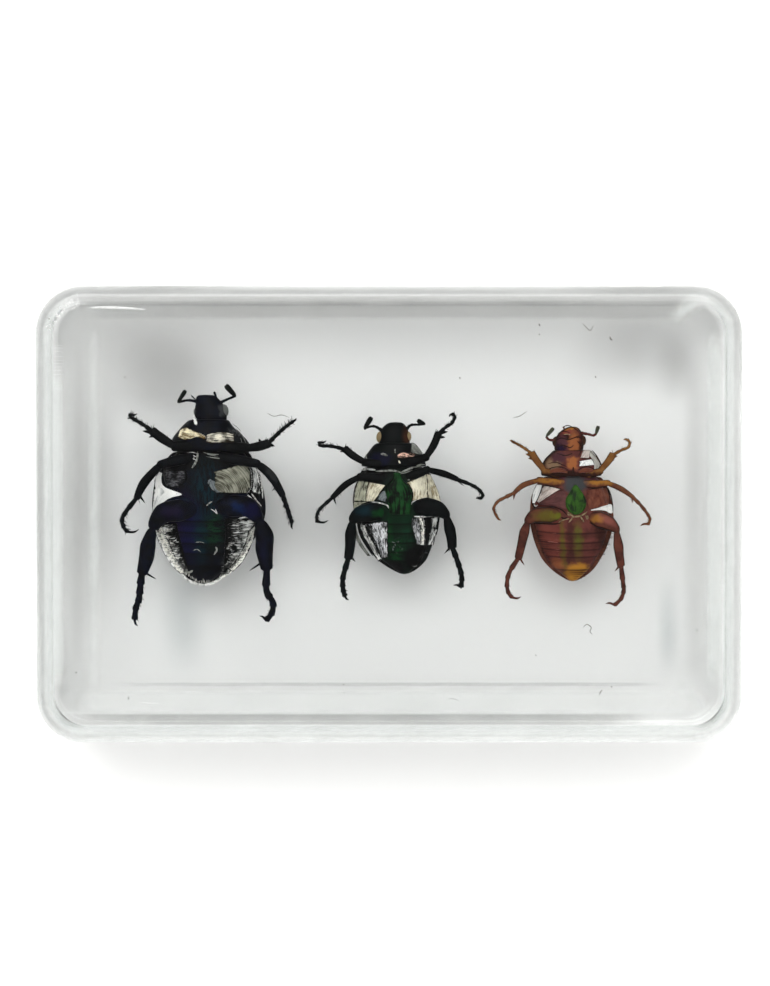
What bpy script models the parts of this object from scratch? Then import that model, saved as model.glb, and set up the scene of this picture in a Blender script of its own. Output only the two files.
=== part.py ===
"""Three dried chafer beetles, bellies up, cast in a clear resin block.

The block stands on its flat base with its middle at the origin. +X runs along its length, +Y points to
the beetles' heads and +Z is up. The resin is parted level in two halves, so that each beetle lies in a
pocket. All sizes below are in millimetres. A beetle's own points are measured from its middle, at the
height of its widest outline, with the belly towards +Z.
"""

import math

import bmesh
import bpy
from mathutils import Vector

MM = 0.001

# Clear block
BLOCK_LENGTH = 110.0
BLOCK_WIDTH = 71.3
BLOCK_HEIGHT = 22.0
CORNER_RADIUS = 7.5
EDGE_RADIUS = 2.8
CORNER_STEPS = 5
EDGE_STEPS = 4
PARTING_HEIGHT = 11.0
PARTING_GAP = 0.3
POCKET_CLEARANCE = 1.0
POCKET_FLATTENING = 12.0

# Roundness of a body section: 2 is an ellipse, more is fuller at the sides
BELLY_FULLNESS = 2.4
BACK_FULLNESS = 2.1

# Facets round each kind of piece
BELLY_STEPS = 6
BACK_STEPS = 8
CHEST_SIDES = 12
HEAD_SIDES = 10
EYE_SIDES = 6
LEG_SIDES = 6
THIN_SIDES = 5

# Sections along each kind of leg part
FEMUR_STATIONS = 5
TIBIA_STATIONS = 5
TARSUS_STATIONS = 5

# Thickness of a leg part as a share of its width
FEMUR_DEPTH = 0.62
TIBIA_DEPTH = 0.6
TARSUS_DEPTH = 0.8
CLUB_DEPTH = 0.7

# How far each leg part starts inside the one before it
JOINT_OVERLAP = 0.35

# Where a body is tallest, as a share of its length from the front, and how far to each side its arch reaches
HIND_BELLY_ARCH = (0.42, 0.64)
HIND_BACK_ARCH = (0.45, 0.6)
CHEST_BELLY_ARCH = (0.9, 1.5)
CHEST_BACK_ARCH = (0.9, 1.15)
HEAD_ARCH = (1.0, 1.15)

# The hind body gets thinner once it is narrower than this share of its widest place
TAIL_SHARE = 0.45

# The rim of the wing cases: its width, and the heights of its foot and crest as shares of the belly height
RIM_WIDTH = 0.75
RIM_FOOT = 0.12
RIM_CREST = 0.26
SUTURE_GROOVE = 0.25
STERNITE_STEP = 0.16
STERNITE_GAP = 0.1
CLAW_WIDTH = 0.28
CLAW_SPREAD = 0.35
CLAW_SWING = 0.12
TOOTH_WIDTH = 0.7
SPUR_WIDTH = 0.35
TOOTH_DROP = 0.1
STALK_WIDTH = 0.45

# Height of an antenna's root as a share of the head's belly height, and how far its stalk and club rise
ANTENNA_ROOT = 0.25
STALK_RISE = 0.4
CLUB_RISE = 0.3

# Width of an eye at each of its rings as a share of its full width
EYE_RINGS = (0.6, 0.95, 0.95, 0.6)

# Height of the scutellum's foot and face as shares of the back height
SCUTELLUM_FOOT = 0.62
SCUTELLUM_FACE = 0.88

# Each beetle's sections are (y, left x, right x), from front to back, and sutures are where its belly
# plates overlap. Each leg gives the middle line of its femur, of its tibia from the knee on and of its
# tarsus from the ankle on, and where its claws end. Its teeth and spurs are (root, tip). The widths are
# for each pair of legs, unless a leg has its own.
BEETLES = [
    {
        "name": "blue_beetle",
        "place": (-28.8, 3.8, 11.5),
        "colour": (0.006, 0.010, 0.022),
        "belly": 3.6,
        "back": 6.0,
        "chest_belly": 2.9,
        "chest_back": 4.6,
        "head_belly": 1.7,
        "head_back": 1.8,
        "head": [
            (14.9, -1.1, 1.3),
            (14.4, -1.5, 2.0),
            (13.6, -1.5, 2.7),
            (12.4, -1.7, 3.3),
            (10.9, -1.7, 3.4),
            (9.4, -1.4, 3.2),
        ],
        "chest": [
            (11.1, -2.4, 3.6),
            (10.1, -3.5, 4.2),
            (9.2, -4.3, 5.1),
            (8.2, -5.1, 6.2),
            (7.1, -5.4, 7.0),
            (5.9, -5.2, 7.1),
        ],
        "hind_body": [
            (6.2, -4.9, 6.8),
            (4.3, -6.5, 7.7),
            (2.8, -7.3, 8.4),
            (1.1, -7.9, 8.9),
            (-0.8, -8.3, 9.3),
            (-2.8, -8.4, 9.5),
            (-4.6, -8.1, 9.3),
            (-6.3, -7.7, 8.5),
            (-7.9, -7.0, 7.6),
            (-9.5, -6.2, 6.6),
            (-11.2, -5.3, 5.2),
            (-12.8, -4.0, 3.6),
            (-14.1, -2.7, 2.0),
            (-14.9, -1.3, 0.3),
        ],
        "sutures": [-5.0, -6.8, -8.5, -10.1, -12.0],
        "eyes": [(-1.5, 12.2, 0.9), (2.9, 12.3, 1.0)],
        "scutellum": (1.2, 4.8, 2.0, 2.6),
        "femur_widths": {"front": [1.6, 1.9, 1.5], "mid": [1.5, 1.7, 1.3], "hind": [2.6, 3.5, 3.2, 1.5]},
        "tibia_widths": {"front": [1.2, 1.5, 1.4], "mid": [1.2, 1.5, 1.0], "hind": [1.3, 2.5, 2.4, 1.6]},
        "tarsus_widths": {"front": [0.7, 0.5], "mid": [0.8, 0.6], "hind": [1.2, 0.9]},
        "legs": {
            "front_left": {
                "femur": [(-0.6, 6.8), (-3.0, 6.8), (-5.2, 6.8)],
                "tibia": [(-6.8, 8.1), (-8.4, 9.3)],
                "tarsus": [(-10.0, 10.4), (-11.4, 11.2), (-11.8, 11.8)],
                "claw": (-10.6, 11.9),
                "teeth": [((-8.4, 9.0), (-9.8, 9.2)), ((-7.7, 8.6), (-8.8, 8.2))],
            },
            "front_right": {
                "femur": [(1.3, 6.8), (4.3, 6.6), (7.0, 6.5)],
                "tibia": [(8.5, 6.8), (10.1, 7.3)],
                "tarsus": [(12.1, 9.4), (13.8, 10.7)],
                "claw": (14.3, 11.2),
                "teeth": [((9.9, 7.2), (10.9, 6.8)), ((8.8, 7.2), (8.4, 8.0))],
            },
            "mid_left": {
                "femur": [(-1.1, 5.1), (-4.3, 4.6), (-7.4, 3.8)],
                "tibia": [(-9.5, 1.1), (-10.8, -1.5)],
                "tarsus": [(-12.3, -3.3), (-13.0, -4.6), (-12.8, -5.8), (-12.2, -6.6)],
                "claw": (-10.4, -6.2),
                "teeth": [((-10.2, -1.0), (-9.4, -2.1))],
            },
            "mid_right": {
                "femur": [(0.9, 5.4), (4.9, 4.7), (8.7, 4.0)],
                "tibia": [(10.4, 2.1), (12.3, -1.1)],
                "tarsus": [(13.0, -3.3), (13.6, -5.2)],
                "claw": (13.7, -6.2),
                "teeth": [((11.3, 0.7), (10.5, -0.2))],
            },
            "hind_left": {
                "femur": [(-0.5, -2.8), (-4.0, -3.2), (-6.6, -3.8), (-8.4, -6.2)],
                "tibia": [(-8.9, -8.7), (-9.2, -10.7), (-10.0, -13.4)],
                "tarsus": [(-10.2, -15.3), (-10.4, -17.1), (-10.9, -18.6), (-11.1, -20.4)],
                "claw": (-10.6, -21.4),
                "teeth": [((-9.4, -13.0), (-7.7, -14.0))],
            },
            "hind_right": {
                "femur": [(0.8, -2.8), (4.3, -2.5), (6.8, -2.8), (8.7, -4.9)],
                "tibia": [(9.3, -7.1), (9.3, -9.5), (9.7, -12.8)],
                "tibia_widths": [1.5, 2.9, 2.8, 1.7],
                "tarsus": [(9.6, -15.8), (10.6, -17.7), (10.4, -19.4), (9.5, -20.5)],
                "claw": (8.5, -19.8),
                "teeth": [((8.9, -11.4), (6.9, -12.7)), ((9.7, -11.5), (10.7, -11.9))],
            },
        },
        "antennae": [
            {
                "stalk": [(-1.2, 13.8), (-2.7, 14.0), (-4.2, 13.7)],
                "club": [(-4.3, 13.6), (-3.0, 15.6)],
                "width": 0.7,
            },
            {
                "stalk": [(2.3, 13.6), (3.6, 14.2), (4.8, 14.7)],
                "club": [(4.8, 14.6), (3.2, 16.4)],
                "width": 0.9,
            },
        ],
    },
    {
        "name": "green_beetle",
        "place": (1.3, 2.4, 11.5),
        "colour": (0.006, 0.016, 0.008),
        "belly": 3.0,
        "back": 5.0,
        "chest_belly": 2.4,
        "chest_back": 3.7,
        "head_belly": 1.5,
        "head_back": 1.5,
        "head": [
            (12.0, -1.2, 0.7),
            (11.5, -2.0, 1.3),
            (10.8, -2.6, 1.7),
            (9.8, -2.9, 1.9),
            (8.6, -2.9, 2.0),
            (7.4, -2.7, 2.0),
        ],
        "chest": [
            (8.8, -3.2, 2.5),
            (8.2, -3.9, 3.0),
            (7.4, -4.5, 3.6),
            (6.6, -5.1, 4.1),
            (5.8, -5.5, 4.4),
            (4.9, -5.7, 4.6),
        ],
        "hind_body": [
            (5.1, -5.3, 4.5),
            (3.3, -6.1, 5.4),
            (1.7, -6.5, 5.9),
            (0.0, -6.8, 6.5),
            (-1.7, -6.8, 6.8),
            (-3.2, -6.6, 6.7),
            (-4.7, -6.1, 6.3),
            (-6.5, -5.5, 5.8),
            (-8.2, -4.3, 5.2),
            (-9.6, -3.2, 4.6),
            (-10.7, -1.7, 3.6),
            (-11.5, -0.3, 2.5),
            (-11.9, 0.6, 1.6),
        ],
        "sutures": [-4.0, -5.5, -7.0, -8.4, -9.8],
        "eyes": [(-2.6, 9.6, 0.9), (1.6, 9.7, 0.8)],
        "scutellum": (-0.5, 3.8, 1.7, 2.2),
        "femur_widths": {"front": [1.4, 1.5, 1.2], "mid": [1.4, 1.5, 1.1], "hind": [2.1, 3.0, 2.5, 1.1]},
        "tibia_widths": {"front": [1.0, 1.2, 1.2], "mid": [0.9, 1.1, 0.8], "hind": [1.0, 1.8, 1.6, 1.4]},
        "tarsus_widths": {"front": [0.6, 0.5], "mid": [0.6, 0.5], "hind": [0.9, 0.8]},
        "legs": {
            "front_left": {
                "femur": [(-0.8, 5.7), (-3.2, 5.5), (-5.5, 5.7)],
                "tibia": [(-7.0, 6.8), (-8.3, 7.9)],
                "tarsus": [(-10.3, 8.2), (-12.0, 8.3), (-12.2, 8.8)],
                "claw": (-11.1, 9.1),
                "teeth": [((-8.0, 7.7), (-9.0, 7.3))],
            },
            "front_right": {
                "femur": [(0.5, 5.5), (2.7, 6.0), (4.9, 6.6)],
                "tibia": [(5.7, 8.4), (6.5, 10.4)],
                "tarsus": [(7.6, 11.2), (8.5, 11.8), (9.0, 12.7), (8.7, 13.3)],
                "claw": (8.1, 12.8),
                "teeth": [((6.4, 9.7), (7.5, 9.6)), ((6.7, 10.3), (7.9, 10.5))],
            },
            "mid_left": {
                "femur": [(-1.1, 3.3), (-3.6, 3.3), (-6.3, 3.5)],
                "tibia": [(-8.2, 2.1), (-10.3, 0.0)],
                "tarsus": [(-12.0, -1.5), (-12.6, -2.7), (-12.6, -3.6)],
                "claw": (-10.8, -3.4),
                "teeth": [((-10.0, 0.2), (-9.6, -0.9))],
            },
            "mid_right": {
                "femur": [(0.8, 3.0), (2.8, 3.8), (5.1, 4.7)],
                "tibia": [(7.3, 3.9), (9.5, 3.0)],
                "tarsus": [(11.5, 2.2), (12.8, 1.4), (13.4, 0.5), (13.0, 0.0)],
                "claw": (12.3, 0.0),
                "teeth": [((9.3, 3.0), (10.4, 2.0))],
            },
            "hind_left": {
                "femur": [(-1.7, -2.1), (-4.1, -2.1), (-6.0, -2.5), (-7.3, -3.6)],
                "tibia": [(-7.3, -5.4), (-7.4, -7.4), (-7.7, -9.6)],
                "tarsus": [(-8.5, -12.3), (-8.5, -14.2), (-8.2, -15.3)],
                "claw": (-7.6, -15.9),
                "teeth": [((-7.3, -9.0), (-6.6, -9.9))],
            },
            "hind_right": {
                "femur": [(2.2, -1.4), (4.6, -1.3), (6.5, -1.7), (8.0, -2.9)],
                "tibia": [(8.2, -4.7), (8.5, -6.2), (8.6, -7.8)],
                "tarsus": [(9.6, -10.3), (10.1, -12.3), (10.0, -13.9)],
                "claw": (8.8, -13.6),
                "teeth": [((8.4, -7.5), (7.4, -8.6))],
            },
        },
        "antennae": [
            {
                "stalk": [(-2.3, 10.6), (-3.5, 11.3), (-4.6, 11.2), (-5.2, 10.9)],
                "club": [(-5.2, 10.9), (-4.0, 12.8)],
                "width": 0.8,
            },
            {
                "stalk": [(1.4, 10.8), (2.1, 11.5), (3.3, 11.6), (4.3, 11.7)],
                "club": [(4.4, 11.6), (3.1, 12.3)],
                "width": 0.7,
            },
        ],
    },
    {
        "name": "brown_beetle",
        "place": (29.1, 1.6, 11.5),
        "colour": (0.17, 0.055, 0.025),
        "belly": 2.9,
        "back": 4.8,
        "chest_belly": 2.3,
        "chest_back": 3.6,
        "head_belly": 1.7,
        "head_back": 1.5,
        "head": [
            (12.1, -0.9, 0.3),
            (11.7, -1.8, 0.8),
            (11.1, -2.5, 1.2),
            (10.1, -3.1, 1.4),
            (8.8, -3.2, 1.4),
            (7.3, -2.9, 1.0),
        ],
        "chest": [
            (8.5, -3.2, 2.1),
            (7.7, -4.0, 3.0),
            (7.0, -4.7, 3.6),
            (6.0, -5.1, 4.0),
            (5.1, -5.3, 4.2),
            (4.2, -5.2, 4.3),
        ],
        "hind_body": [
            (4.4, -5.0, 4.1),
            (2.8, -6.1, 5.1),
            (1.1, -6.8, 5.7),
            (-0.6, -7.0, 6.0),
            (-2.5, -7.1, 6.2),
            (-4.1, -6.8, 6.0),
            (-5.7, -6.4, 5.5),
            (-7.3, -5.8, 4.9),
            (-8.7, -5.1, 4.1),
            (-10.0, -4.0, 3.3),
            (-11.1, -2.7, 2.2),
            (-11.8, -1.5, 1.0),
            (-12.2, -0.8, 0.2),
        ],
        "sutures": [-4.7, -6.2, -7.3, -8.4, -10.4],
        "eyes": [(-2.9, 9.7, 0.8), (1.2, 9.9, 0.8)],
        "scutellum": (-0.5, 3.2, 1.6, 2.0),
        "femur_widths": {"front": [1.3, 1.3, 1.0], "mid": [1.2, 1.3, 0.9], "hind": [1.7, 2.6, 2.3, 0.9]},
        "tibia_widths": {"front": [0.9, 1.1, 1.2], "mid": [0.8, 0.9, 0.6], "hind": [0.8, 1.6, 1.4, 1.2]},
        "tarsus_widths": {"front": [0.5, 0.4], "mid": [0.6, 0.4], "hind": [0.8, 0.6]},
        "legs": {
            "front_left": {
                "femur": [(-0.9, 4.7), (-3.0, 4.7), (-5.1, 5.2)],
                "tibia": [(-6.0, 6.8), (-6.8, 8.0)],
                "tarsus": [(-8.2, 8.9), (-9.7, 9.7)],
                "claw": (-10.2, 9.9),
                "teeth": [((-6.8, 7.6), (-7.7, 7.8)), ((-6.3, 7.1), (-7.3, 7.1))],
            },
            "front_right": {
                "femur": [(0.6, 4.7), (2.5, 4.7), (4.3, 5.2)],
                "tibia": [(5.2, 6.6), (6.0, 7.8)],
                "tarsus": [(7.3, 8.4), (8.3, 8.8), (8.6, 9.5), (8.3, 10.0)],
                "claw": (7.6, 10.0),
                "teeth": [((5.9, 7.5), (6.7, 7.4)), ((5.4, 6.9), (6.2, 6.8))],
            },
            "mid_left": {
                "femur": [(-0.8, 3.2), (-3.5, 3.4), (-6.0, 3.8)],
                "tibia": [(-8.1, 2.9), (-9.7, 1.5)],
                "tarsus": [(-11.1, 0.9), (-12.1, 0.3), (-12.7, -0.8), (-12.2, -2.0)],
                "claw": (-11.5, -2.6),
                "teeth": [((-9.4, 1.7), (-9.6, 0.6))],
            },
            "mid_right": {
                "femur": [(0.6, 3.2), (3.0, 3.1), (5.5, 3.3)],
                "tibia": [(7.3, 2.3), (9.3, 0.9)],
                "tarsus": [(10.4, -0.3), (11.4, -1.6), (11.8, -2.4), (11.6, -3.2)],
                "claw": (10.3, -3.5),
                "teeth": [((9.0, 1.1), (9.0, 0.1))],
            },
            "hind_left": {
                "femur": [(-1.3, -1.9), (-3.8, -1.7), (-6.3, -1.9), (-7.7, -3.0)],
                "tibia": [(-7.9, -4.4), (-8.3, -6.2), (-8.9, -8.8)],
                "tarsus": [(-10.2, -10.7), (-10.6, -12.5), (-10.4, -13.9), (-9.8, -14.7)],
                "claw": (-8.4, -14.6),
                "teeth": [((-8.7, -8.4), (-7.9, -9.6))],
            },
            "hind_right": {
                "femur": [(1.6, -1.9), (3.6, -2.4), (5.4, -3.1), (6.8, -4.3)],
                "tibia": [(6.8, -6.5), (7.0, -8.1), (7.3, -9.9)],
                "tarsus": [(7.6, -12.5), (7.7, -13.6), (7.3, -14.9), (6.3, -15.9)],
                "claw": (4.9, -15.7),
                "teeth": [((7.1, -9.6), (6.3, -10.6))],
            },
        },
        "antennae": [
            {
                "stalk": [(-2.6, 10.0), (-3.9, 10.0), (-4.5, 10.5)],
                "club": [(-4.5, 10.5), (-3.3, 11.9)],
                "width": 0.6,
            },
            {
                "stalk": [(0.7, 11.1), (2.1, 10.9), (2.9, 10.7), (3.4, 11.0)],
                "club": [(3.3, 10.9), (3.7, 12.2)],
                "width": 0.6,
            },
        ],
    },
]

# Share of the belly height at which a leg lies at its hip, mid-femur, knee, ankle and tarsus tip
LEG_RISE = {
    "front": (0.5, 0.8, 0.45, 0.3, 0.4),
    "mid": (0.6, 0.95, 0.66, 0.4, 0.25),
    "hind": (0.7, 1.0, 0.75, 0.4, 0.2),
}


def clear_scene():
    for old in list(bpy.data.objects):
        bpy.data.objects.remove(old, do_unlink=True)


def resin_material():
    material = bpy.data.materials.new("clear_resin")
    material.use_nodes = True
    shader = material.node_tree.nodes["Principled BSDF"]
    shader.inputs["Base Color"].default_value = (0.97, 0.98, 0.98, 1.0)
    shader.inputs["Roughness"].default_value = 0.03
    shader.inputs["Metallic"].default_value = 0.0
    shader.inputs["IOR"].default_value = 1.5
    shader.inputs["Transmission Weight"].default_value = 1.0
    return material


def shell_material(name, colour):
    material = bpy.data.materials.new(name + "_shell")
    material.use_nodes = True
    shader = material.node_tree.nodes["Principled BSDF"]
    shader.inputs["Base Color"].default_value = (*colour, 1.0)
    shader.inputs["Roughness"].default_value = 0.3
    shader.inputs["Metallic"].default_value = 0.2
    return material


def closed_loft(name, rings, tip=None):
    """A closed mesh through rings of equal length, capped flat, or brought to a point where tip is given."""
    mesh = bmesh.new()
    loops = [[mesh.verts.new(point * MM) for point in ring] for ring in rings]
    sides = len(loops[0])
    for first, second in zip(loops, loops[1:]):
        for i in range(sides):
            j = (i + 1) % sides
            mesh.faces.new((first[i], first[j], second[j], second[i]))
    mesh.faces.new(loops[0])
    if tip is None:
        mesh.faces.new(loops[-1])
    else:
        point = mesh.verts.new(tip * MM)
        for i in range(sides):
            mesh.faces.new((loops[-1][i], loops[-1][(i + 1) % sides], point))
    bmesh.ops.recalc_face_normals(mesh, faces=mesh.faces)
    data = bpy.data.meshes.new(name)
    mesh.to_mesh(data)
    mesh.free()
    piece = bpy.data.objects.new(name, data)
    bpy.context.collection.objects.link(piece)
    return piece


def smooth_point(points, t):
    """A point at t, from 0 to 1, on a smooth curve through the points."""
    spans = len(points) - 1
    place = min(max(t, 0.0), 1.0) * spans
    i = min(int(place), spans - 1)
    u = place - i
    p1, p2 = points[i], points[i + 1]
    p0 = points[i - 1] if i > 0 else p1 * 2 - p2
    p3 = points[i + 2] if i + 2 <= spans else p2 * 2 - p1
    bend = (p0 * 2 - p1 * 5 + p2 * 4 - p3) * u * u + (p1 * 3 - p0 - p2 * 3 + p3) * u * u * u
    return (p1 * 2 + (p2 - p0) * u + bend) * 0.5


def value_at(values, t):
    place = t * (len(values) - 1)
    i = min(int(place), len(values) - 2)
    return values[i] + (values[i + 1] - values[i]) * (place - i)


def signed_power(value, power):
    return math.copysign(abs(value) ** power, value)


def body_ring(y, left, right, belly, back, sides):
    """One section across the head or chest. Its belly side and its back have heights of their own."""
    ring = []
    middle, half = (left + right) / 2, (right - left) / 2
    for i in range(sides):
        angle = 2 * math.pi * i / sides
        height, fullness = (belly, BELLY_FULLNESS) if math.sin(angle) > 0 else (back, BACK_FULLNESS)
        across = half * signed_power(math.cos(angle), 2 / fullness)
        ring.append(Vector((middle + across, y, height * signed_power(math.sin(angle), 2 / fullness))))
    return ring


def wing_case_ring(y, left, right, belly, back):
    """One section across the hind body: a domed belly, the rim of the wing cases round it, and their dome
    with the groove between them along the middle of the back."""
    ring = []
    middle, half = (left + right) / 2, (right - left) / 2
    inner = half - min(RIM_WIDTH, half * 0.2)
    foot, crest = belly * RIM_FOOT, belly * RIM_CREST
    for i in range(BELLY_STEPS + 1):
        angle = math.pi * i / BELLY_STEPS
        across = inner * signed_power(math.cos(angle), 2 / BELLY_FULLNESS)
        rise = (belly - foot) * signed_power(math.sin(angle), 2 / BELLY_FULLNESS)
        ring.append(Vector((middle + across, y, foot + rise)))
    ring.append(Vector((middle - half * 0.985, y, crest)))
    for i in range(BACK_STEPS + 1):
        angle = math.pi + math.pi * i / BACK_STEPS
        across = half * signed_power(math.cos(angle), 2 / BACK_FULLNESS)
        depth = back * signed_power(math.sin(angle), 2 / BACK_FULLNESS)
        if i * 2 == BACK_STEPS:
            depth += min(SUTURE_GROOVE, back * 0.1)
        ring.append(Vector((middle + across, y, depth)))
    ring.append(Vector((middle + half * 0.985, y, crest)))
    return ring


def arch(t, top, reach):
    """Height at t along a body, as a share of its full height: 1 at top, falling off to each side."""
    return math.sqrt(max(1 - ((t - top) / reach) ** 2, 0.0))


def body_loft(beetle, name, sides, belly_arch, back_arch):
    """The head or the chest, from its sections and its heights towards the belly and the back."""
    sections = beetle[name]
    front, rear = sections[0][0], sections[-1][0]
    rings = []
    for y, left, right in sections:
        t = (front - y) / (front - rear)
        belly = beetle[name + "_belly"] * arch(t, *belly_arch)
        back = beetle[name + "_back"] * arch(t, *back_arch)
        rings.append(body_ring(y, left, right, belly, back, sides))
    return closed_loft(name, rings)


def outline_at(sections, y):
    """Left and right edge of an outline at y."""
    for (y0, left0, right0), (y1, left1, right1) in zip(sections, sections[1:]):
        if y >= y1:
            u = (y0 - y) / (y0 - y1)
            return left0 + (left1 - left0) * u, right0 + (right1 - right0) * u
    return sections[-1][1:]


def hind_body(beetle):
    """Belly and wing cases. Each belly plate starts a step lower than the end of the one before it."""
    sections, sutures = beetle["hind_body"], beetle["sutures"]
    widest = max(right - left for y, left, right in sections)
    front, rear = sections[0][0], sections[-1][0]
    stations = [(y, 0.0) for y, left, right in sections if y > sutures[0] or y < sutures[-1] - STERNITE_GAP]
    for y in sutures:
        stations += [(y + STERNITE_GAP, 0.0), (y - STERNITE_GAP, STERNITE_STEP)]
    rings = []
    for y, step in sorted(stations, reverse=True):
        left, right = outline_at(sections, y)
        t = (front - y) / (front - rear)
        slim = min(1.0, math.sqrt((right - left) / widest / TAIL_SHARE))
        belly = beetle["belly"] * arch(t, *HIND_BELLY_ARCH) * slim - step
        back = beetle["back"] * arch(t, *HIND_BACK_ARCH) * slim
        rings.append(wing_case_ring(y, left, right, belly, back))
    return closed_loft("hind_body", rings)


def limb(name, points, widths, depth, sides, stations, tip=None):
    """A tube with flattened sections along a smooth line, for leg parts, antennae, claws and teeth."""
    rings = []
    for k in range(stations):
        t = k / (stations - 1)
        middle = smooth_point(points, t)
        along = smooth_point(points, min(t + 0.02, 1.0)) - smooth_point(points, max(t - 0.02, 0.0))
        side = along.cross(Vector((0, 0, 1))).normalized()
        up = side.cross(along).normalized()
        half = value_at(widths, t) / 2
        turn = [2 * math.pi * (i + 0.5) / sides for i in range(sides)]
        rings.append([middle + side * half * math.cos(a) + up * half * depth * math.sin(a) for a in turn])
    return closed_loft(name, rings, tip)


def spike(name, root, tip, width):
    """A short four-sided spine from root to tip, for tibial teeth and spurs."""
    return limb(name, [root, root.lerp(tip, 0.5)], [width, width * 0.7], 0.7, 4, 2, tip)


def raised(points, start, end):
    """Lays a flat route at heights that run evenly from start to end."""
    last = len(points) - 1
    return [Vector((x, y, start + (end - start) * i / last)) for i, (x, y) in enumerate(points)]


def joined(before, points, start, end):
    """The route of the next leg part, which starts a little way inside the one before."""
    back = (before[-2] - before[-1]).normalized() * JOINT_OVERLAP
    flat = [(before[-1].x, before[-1].y)] + points
    route = raised(flat, start, end)
    route[0] += back
    return route


def claws(route, end, height):
    """A pair of hooked claws from the end of the tarsus."""
    root = route[-1]
    tip = Vector((*end, height))
    pieces = []
    for side in (-1, 1):
        spread = Vector((0, 0, side * CLAW_SPREAD))
        swing = (tip - root).cross(Vector((0, 0, 1))) * CLAW_SWING
        middle = root.lerp(tip, 0.55) + spread * 0.6 + swing
        widths = [CLAW_WIDTH, CLAW_WIDTH * 0.7]
        pieces.append(limb("claw", [root, middle], widths, 0.9, 3, 2, tip + spread))
    return pieces


def leg(beetle, place, shape):
    pair = place.split("_")[0]
    hip, middle, knee, ankle, end = (share * beetle["belly"] for share in LEG_RISE[pair])
    femur = raised(shape["femur"], middle, knee)
    femur[0].z = hip
    tibia = joined(femur, shape["tibia"], knee, ankle)
    tarsus = joined(tibia, shape["tarsus"], ankle, end)
    tibia_widths = shape.get("tibia_widths", beetle["tibia_widths"][pair])
    pieces = [
        limb("femur", femur, beetle["femur_widths"][pair], FEMUR_DEPTH, LEG_SIDES, FEMUR_STATIONS),
        limb("tibia", tibia, tibia_widths, TIBIA_DEPTH, LEG_SIDES, TIBIA_STATIONS),
        limb("tarsus", tarsus, beetle["tarsus_widths"][pair], TARSUS_DEPTH, THIN_SIDES, TARSUS_STATIONS),
    ]
    pieces += claws(tarsus, shape["claw"], end)
    width = TOOTH_WIDTH if pair == "front" else SPUR_WIDTH
    for root, tip in shape["teeth"]:
        pieces.append(spike("tooth", Vector((*root, ankle)), Vector((*tip, ankle - TOOTH_DROP)), width))
    return pieces


def antenna(beetle, shape):
    root = beetle["head_belly"] * ANTENNA_ROOT
    stalk = raised(shape["stalk"], root, root + STALK_RISE)
    club = raised(shape["club"], root + STALK_RISE, root + STALK_RISE + CLUB_RISE)
    width = shape["width"]
    return [
        limb("stalk", stalk, [STALK_WIDTH * 1.3, STALK_WIDTH], 0.9, 4, 4),
        limb("club", club, [width * 0.6, width, width * 1.05, width * 0.6], CLUB_DEPTH, THIN_SIDES, 4),
    ]


def eye(x, y, radius):
    rings = []
    for k, share in enumerate(EYE_RINGS):
        along = radius * (k - 1.5) * 0.6
        turn = [2 * math.pi * (i + 0.5) / EYE_SIDES for i in range(EYE_SIDES)]
        ring = [Vector((math.cos(a), 0, math.sin(a))) * radius * share for a in turn]
        rings.append([Vector((x, y + along, 0)) + point for point in ring])
    return closed_loft("eye", rings)


def scutellum(x, y, width, length, back):
    """The small plate between the wing cases at the base of the back: a low wedge that ends in a point."""
    corners = [(-width / 2, 0), (width / 2, 0), (0, -length)]
    low = [Vector((x + dx, y + dy, -back * SCUTELLUM_FOOT)) for dx, dy in corners]
    high = [Vector((x + dx * 0.9, y + dy * 0.95, -back * SCUTELLUM_FACE)) for dx, dy in corners]
    return closed_loft("scutellum", [low, high])


def fuse(name, pieces):
    """Unites the closed pieces in one solid body."""
    base, rest = pieces[0], pieces[1:]
    group = bpy.data.collections.new(name + "_pieces")
    for piece in rest:
        group.objects.link(piece)
    union = base.modifiers.new("union", "BOOLEAN")
    union.operation = "UNION"
    union.solver = "EXACT"
    union.operand_type = "COLLECTION"
    union.collection = group
    bpy.context.view_layer.update()
    evaluated = base.evaluated_get(bpy.context.evaluated_depsgraph_get())
    data = bpy.data.meshes.new_from_object(evaluated)
    data.name = name
    for piece in pieces:
        bpy.data.objects.remove(piece, do_unlink=True)
    bpy.data.collections.remove(group)
    body = bpy.data.objects.new(name, data)
    bpy.context.collection.objects.link(body)
    return body


def make_beetle(beetle):
    pieces = [
        hind_body(beetle),
        body_loft(beetle, "chest", CHEST_SIDES, CHEST_BELLY_ARCH, CHEST_BACK_ARCH),
        body_loft(beetle, "head", HEAD_SIDES, HEAD_ARCH, HEAD_ARCH),
    ]
    pieces += [eye(*place) for place in beetle["eyes"]]
    pieces.append(scutellum(*beetle["scutellum"], beetle["back"]))
    for place, shape in beetle["legs"].items():
        pieces += leg(beetle, place, shape)
    for shape in beetle["antennae"]:
        pieces += antenna(beetle, shape)
    body = fuse(beetle["name"], pieces)
    offset = Vector(beetle["place"]) * MM
    for vertex in body.data.vertices:
        vertex.co += offset
    finish(body, shell_material(beetle["name"], beetle["colour"]))
    return body


def finish(body, material):
    data = body.data
    data.materials.clear()
    data.materials.append(material)
    data.shade_smooth()
    data.set_sharp_from_angle(angle=math.radians(40))


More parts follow.
